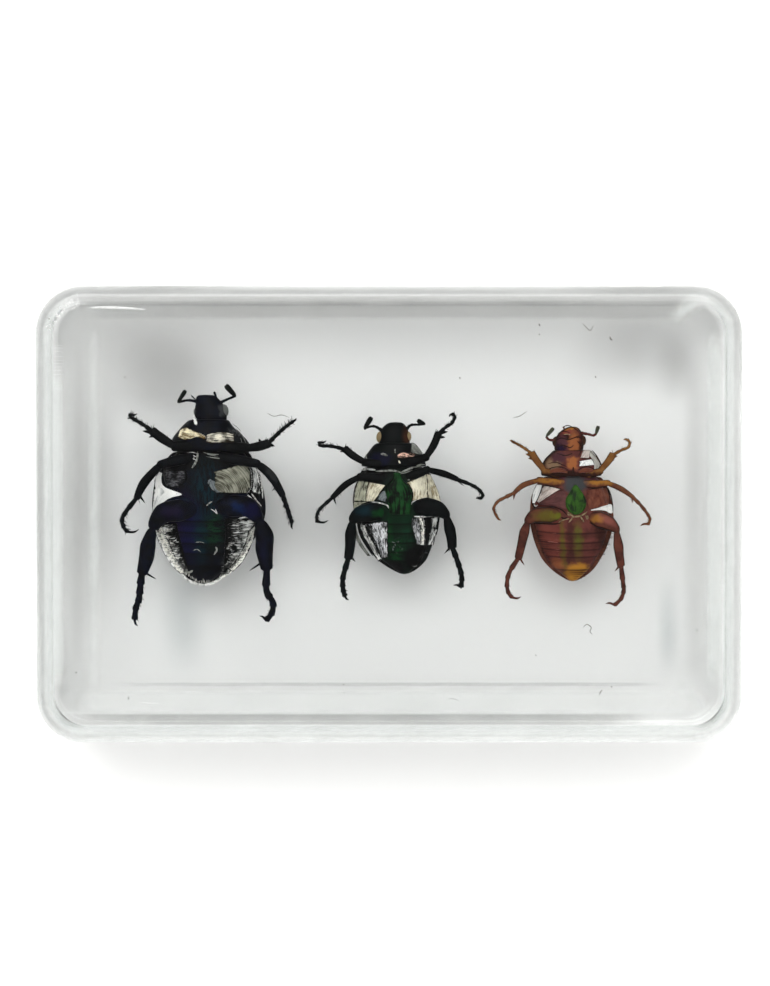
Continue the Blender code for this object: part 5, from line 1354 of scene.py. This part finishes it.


# marks in the resin, and bands of painted light and shade, in millimetres in the block
resinMarks = {
    # dust and creases are routes with a height and a width, trails with a width and a height, bands have their
    # left, right, front and back side and a height, and rims their near and far side from the wall and a height
    "dust": [
        ("-19.1 15.8, -18 15.3, -16.8 15.5, -15.6 15.1", 13, 0.1),
        ("19.4 15.1, 20.4 15.3, 21.6 16.1", 13, 0.1), ("23.5 29.8, 23.6 29.4", 12, 0.2),
        ("30.3 29.8, 30.9 29.2, 31.5 28.7, 32 29.5", 12, 0.12), ("23.5 28.2, 23.6 28", 12, 0.18),
        ("34.6 27.8, 34.7 27.4, 35 27.2", 12, 0.22), ("32.3 21.6, 32.4 21.3", 12, 0.18),
        ("-41.5 21.5, -41.2 21.4", 12, 0.22), ("11 21.4, 11.2 21.2", 12, 0.2),
        ("-40.9 -28.7, -40.9 -29.2", 12, 0.3), ("-49.2 -25, -49 -24.8", 12, 0.2),
        ("-46.5 -28.8, -46.4 -29", 12, 0.16),
        ("30.4 -17.8, 31 -17.3, 31.7 -17.8, 31.5 -18.4, 31.9 -18.9", 13, 0.13),
        ("33 -28.5, 33.2 -28, 33.5 -27.6", 12, 0.18), ("34.8 -27.1, 35.1 -27.2", 12, 0.2),
        ("48.2 -18.2, 48.5 -18.3", 12, 0.2), ("23 -22.1, 23.1 -22.3", 12, 0.14),
        ("9.1 -29.2, 10 -29, 11 -29.4", 12, 0.11), ("-7.1 -26.7, -7.1 -27", 12, 0.18),
        ("-7.1 -28, -7 -28.3", 12, 0.16), ("-7.2 -30.3, -7.1 -30.6", 12, 0.18),
    ],
    "creases_and_glint": [
        # the first crease, near the far wall on the left, is a painted reflection of a lamp in the rounded edge
        ("-46.4 32.1, -44.2 32.15, -41 32.05, -37.8 31.8", 19, 0.42),
        ("-39 -29.6, -37.4 -29.7, -35.8 -29.7", 14, 0.24), ("-32 -27.9, -29.5 -27.9", 14, 0.18),
    ],
    # pale bands: painted highlights along the walls
    "pale": numbers("-52.8 -50.2 -28 24 18.4, -52.6 -50.4 -28 24 18, 49.2 52.4 -27.5 29.5 18.5, "
                    "49.2 52.2 -27.5 29.5 18.1, -50 48 -31.2 -27.2 18.8"),
    # grey bands: painted shade along the walls and near the base
    "grey": numbers("-52 43 -33 -30.8 17.8, -52 40 -33 -31 17.4, -54.6 -53.2 -13 8 17, "
                    "-45 44 -27.6 -26.9 2.6, -51 51 32.3 33.6 18, -49 49 30.2 33.6 17.6, "
                    "-54.3 -53.1 -27 27 17.6, -54.4 -53 -24 30 17.2"),
    # painted highlight streaks down the left inside
    "wisp": numbers("-47.2 -44.4 -30 31 18.6, -47 -44.6 -30 31 18.2"),
    # faint bands: painted shade over the inside, darkest towards the far left
    "faint": numbers("-47 -20 10 32 1.4, -51.5 -27 13 33.4 1.6, 26 50.6 18 33.9 1, -52.4 -41 -24 33 1.25, "
                     "-48 48 -12 10 0.95, 41 50.6 16 31.2 1.8, 45.2 50 -28 26 17, -50.4 -46.6 -27 30 17"),
    # bluish bands: painted shade with a bluish tint near the base
    "bluish": numbers("42.2 46.4 -27.4 -8 1.7, -37.4 -28 -27.4 -6 1.5"),
    # painted highlight streaks curving round the far right and near right corners
    "wispTrails": [("43.2 28.6, 44.6 31, 47 32.7, 49.6 33.2, 52.2 31.6", 3.4, 19.2),
                   ("44.4 29.2, 45.6 31.5, 47.8 32.9", 2.2, 18.9),
                   ("44.4 -26.2, 46.8 -27.8, 48.8 -30, 49.6 -32.2", 3, 18.4)],
    # pale rims: painted highlights round the walls
    "paleRims": numbers("1.8 3 18, 1.9 2.8 17.4, 1.8 2.9 16.8"),
    # faint rims: painted shade round the walls
    "faintRims": numbers("0.8 1.9 17.6"),
    # look of each kind of band of painted light and shade: name, colour, strength, and how much of it is soft
    # across and along
    "tones": {
        "pale": ("pale bands", (0.97, 1.0, 0.99), 0.21, 0.34, 0.22),
        "grey": ("grey bands", (0.17, 0.17, 0.16), 0.13, 0.34, 0.22),
        "faint": ("faint grey bands", (0.2, 0.19, 0.18), 0.085, 0.5, 0.45),
        "bluish": ("bluish bands", (0.34, 0.46, 0.48), 0.085, 0.5, 0.45),
        "wisp": ("pale painted highlights", (0.97, 1.0, 0.99), 0.21, 0.5, 0.5),
    },
    "bandThickness": 0.05,
    # grinding marks down the left wall, and a frosted arc round the far left corner
    "grinding": {"count": 15, "first": 26.2, "step": 0.58, "sides": (-52.3, -51.4, -50.7), "height": 16},
    "frost": {"count": 46, "middle": (-47.5, 28.0), "radius": 4.2, "width": 1.3, "height": 18},
}


def layBand(left, right, front, back, height):
    # a narrow band keeps short soft ends: the outer fifths of its map cover only a few millimetres
    end = 5.0 if min(right - left, back - front) < 8 else 100.0

    def reach(share, size):
        edge = min(end, 0.2 * size)
        return (edge * min(share, 0.2) + edge * max(share - 0.8, 0)) / 0.2 \
            + (size - 2 * edge) * min(max(share - 0.2, 0), 0.6) / 0.6
    return laySheet((10, 10), lambda u, v: (left + reach(u, right - left), front + reach(v, back - front), height),
                    resinMarks["bandThickness"], wave=0.1)


def layTrail(route, width, height):
    route = flatRoute(route, height)

    def place(u, v):
        along = (smoothPoint(route, min(v + 0.02, 1)) - smoothPoint(route, max(v - 0.02, 0))).normalized()
        return smoothPoint(route, v) + along.cross(up) * width * (u - 0.5)
    return laySheet((4, 20), place, resinMarks["bandThickness"])


def layRim(near, far, height):
    # round the walls at a depth, from the far left corner to the far right one
    size, steps = resinBlock, 8
    corners = ((-1, 1), (-1, -1), (1, -1), (1, 1))
    radius = size["cornerRadius"]

    def place(u, v):
        step = round(v * (4 * steps - 1))
        side = corners[step // steps]
        turn = math.radians(90 * (1 + step // steps + (step % steps) / (steps - 1)))
        reach = radius - near - (far - near) * u
        return (side[0] * (size["length"] / 2 - radius) + reach * math.cos(turn),
                side[1] * (size["width"] / 2 - radius) + reach * math.sin(turn), height)
    return laySheet((4, 4 * steps - 1), place, resinMarks["bandThickness"])


def lightAndShadeBandMaterial(name, tone, strength, softAcross, softAlong):
    # a faint band of painted light (pale tones) and painted shade (dark tones), with soft ends
    material, tree, shader = startMaterial(name)
    own = split(tree, coordinates(tree, "UV"))
    drift = noise(tree, usePlace(tree)["Plain"], 0.08, 2.0)[0]
    mask = mixNumber(tree, drift, 0.6 * strength, 1.4 * strength)
    for axis, soft in (("X", softAcross), ("Y", softAlong)):
        mask = times(tree, mask, softStep(tree, toEdge(tree, own[axis]), 0.0, soft))
    feed(tree, shader, {"Alpha": mask, "Base Color": mixColour(tree, drift, paint(tone), paint(tone, 0.9)),
                        "Roughness": 0.6, "Specular IOR Level": 0.0})
    return material


def moreCreases():
    # the marks that are too many to list one by one
    chance = random.Random("resin")
    creases_and_glint = []
    marks = resinMarks["grinding"]
    for i in range(marks["count"]):
        y = marks["first"] - marks["step"] * i + 0.2 * chance.random()
        route = list(zip(marks["sides"], (y, y + 0.05, y)))
        creases_and_glint.append((route, marks["height"] + chance.random(), 0.1 + 0.05 * chance.random()))
    marks = resinMarks["frost"]
    for i in range(marks["count"]):
        turn = math.pi * (0.54 + 0.42 * chance.random())
        reach = marks["radius"] + marks["width"] * chance.random()
        x, y = marks["middle"][0] + reach * math.cos(turn), marks["middle"][1] + reach * math.sin(turn)
        end = (x + 0.7 * (chance.random() - 0.5), y + 0.7 * (chance.random() - 0.5))
        creases_and_glint.append(([(x, y), end], marks["height"] + chance.random(), 0.1 + 0.16 * chance.random()))
    return creases_and_glint


def makeResinMarks():
    # dust and hairs, bright creases and a painted reflection, and faint bands of painted light and shade
    made = []
    materials = {"dust": lineMaterial("dust in the resin", (0.22, 0.2, 0.18)),
                 "creases_and_glint": lineMaterial("bright creases", (1.0, 1.0, 1.0), worn=0.8)}
    for kind, extra in (("dust", []), ("creases_and_glint", moreCreases())):
        routes = []
        for route, height, width in [(numbers(text), *size) for text, *size in resinMarks[kind]] + extra:
            route = [Vector((x, y, height)) for x, y in route]
            routes.append(swept(route, (width, width), 4 * len(route),
                                lambda t: max(roundEnds(t, 0.45, 0.45), 0.3)))
        made.append((growLimbs("resin_" + kind, routes, 0.6, 2), materials[kind]))
    for kind, tone in resinMarks["tones"].items():
        sheets = [layBand(*band) for band in resinMarks.get(kind, ())]
        sheets += [layTrail(*trail) for trail in resinMarks.get(kind + "Trails", ())]
        sheets += [layRim(*rim) for rim in resinMarks.get(kind + "Rims", ())]
        made.append((joinPieces(f"resin_{kind}_bands", sheets), lightAndShadeBandMaterial(*tone)))
    for piece, material in made:
        piece.data.materials.clear()
        piece.data.materials.append(material)
        settle(piece, (0, 0, 0))
        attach(piece, "root")
        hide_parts("resin_lower_half", "resin_upper_half")


makeResinBlock()
makeResinMarks()
print("resin block made")

studio = {
    "floor": 4.0, "floorTone": (0.9, 0.9, 0.9), "floorDrop": 0.0002,
    "fill": 2.5,
    "ceiling": 0.04, "ceilingEdge": (0.60, 0.97),      # dark round the lens, as cosines
    "horizon": 0.30, "horizonEdge": (0.35, 0.60),
    # the window: strength, direction and soft edge as cosines
    "window": 4.2, "windowWay": (-0.1, 0.55, 0.81), "windowEdge": (0.85, 0.95),
    "light": (1.0, 1.0, 0.985, 1),
}
camera = {
    "distance": 0.50,                    # from the block's top face to the lens
    "tilt": 1.5,                         # degrees away from straight down
    "photo": (770, 986), "blockPixels": 707, "blockMiddle": (389, 515),
}


def makeFloor():
    startPiece()
    bpy.ops.mesh.primitive_grid_add(x_subdivisions=8, y_subdivisions=8, size=studio["floor"],
                                    location=(0, 0, -studio["floorDrop"]))
    floor = bpy.context.object
    floor.name = "floor"
    bpy.ops.object.transform_apply()
    material, tree, shader = startMaterial("pale floor")
    tone = studio["floorTone"]
    drift = noise(tree, coordinates(tree, "Object"), 12.0, 3.0)[0]
    feed(tree, shader, {"Base Color": mixColour(tree, drift, paint(tone, 0.99), paint(tone)), "Roughness": 0.7})
    floor.data.materials.append(material)


def makeLights():
    # soft light all round, with one window beyond the heads, darker straight above and near the ground
    world = bpy.data.worlds.new("studio")
    bpy.context.scene.world = world
    world.use_nodes = True
    tree = world.node_tree
    way = coordinates(tree, "Generated")
    height = split(tree, way)["Z"]
    room = softStep(tree, height, *studio["horizonEdge"], studio["horizon"], studio["fill"])
    room = times(tree, room, softStep(tree, height, *studio["ceilingEdge"], 1.0, studio["ceiling"]))
    near = vectorMath(tree, "DOT_PRODUCT", way, Vector(studio["windowWay"]).normalized())
    strength = plus(tree, room, softStep(tree, near, *studio["windowEdge"], 0.0, studio["window"]))
    feed(tree, tree.nodes["Background"], {"Color": studio["light"], "Strength": strength})


def makeCamera():
    lens = bpy.data.cameras.new("camera")
    eye = bpy.data.objects.new("camera", lens)
    bpy.context.collection.objects.link(eye)
    bpy.context.scene.camera = eye
    size, photo = resinBlock, camera["photo"]
    lens.sensor_fit = "AUTO"            # the sensor's width goes with the picture's height
    lens.sensor_width = 36.0
    frameHeight = size["length"] * mm * photo[1] / camera["blockPixels"]
    toWall = camera["distance"] + size["edgeRadius"] * mm       # the outline is the top of the side walls
    lens.lens = lens.sensor_width * toWall / frameHeight
    tilt = math.radians(camera["tilt"])
    top = Vector((0, 0, size["height"] * mm))
    eye.location = top + Vector((0, math.sin(tilt), math.cos(tilt))) * camera["distance"]
    eye.rotation_euler = (-tilt, 0, 0)
    lens.shift_x = (photo[0] / 2 - camera["blockMiddle"][0]) / photo[1]
    lens.shift_y = (camera["blockMiddle"][1] - photo[1] / 2) / photo[1]


makeFloor()
makeLights()
makeCamera()

scene = bpy.context.scene
scene.view_settings.view_transform = "Standard"
scene.cycles.use_denoising = True
scene.cycles.max_bounces = 20
scene.cycles.transmission_bounces = 20
scene.cycles.transparent_max_bounces = 48
scene.cycles.glossy_bounces = 10
scene.cycles.diffuse_bounces = 5
print("studio ready")
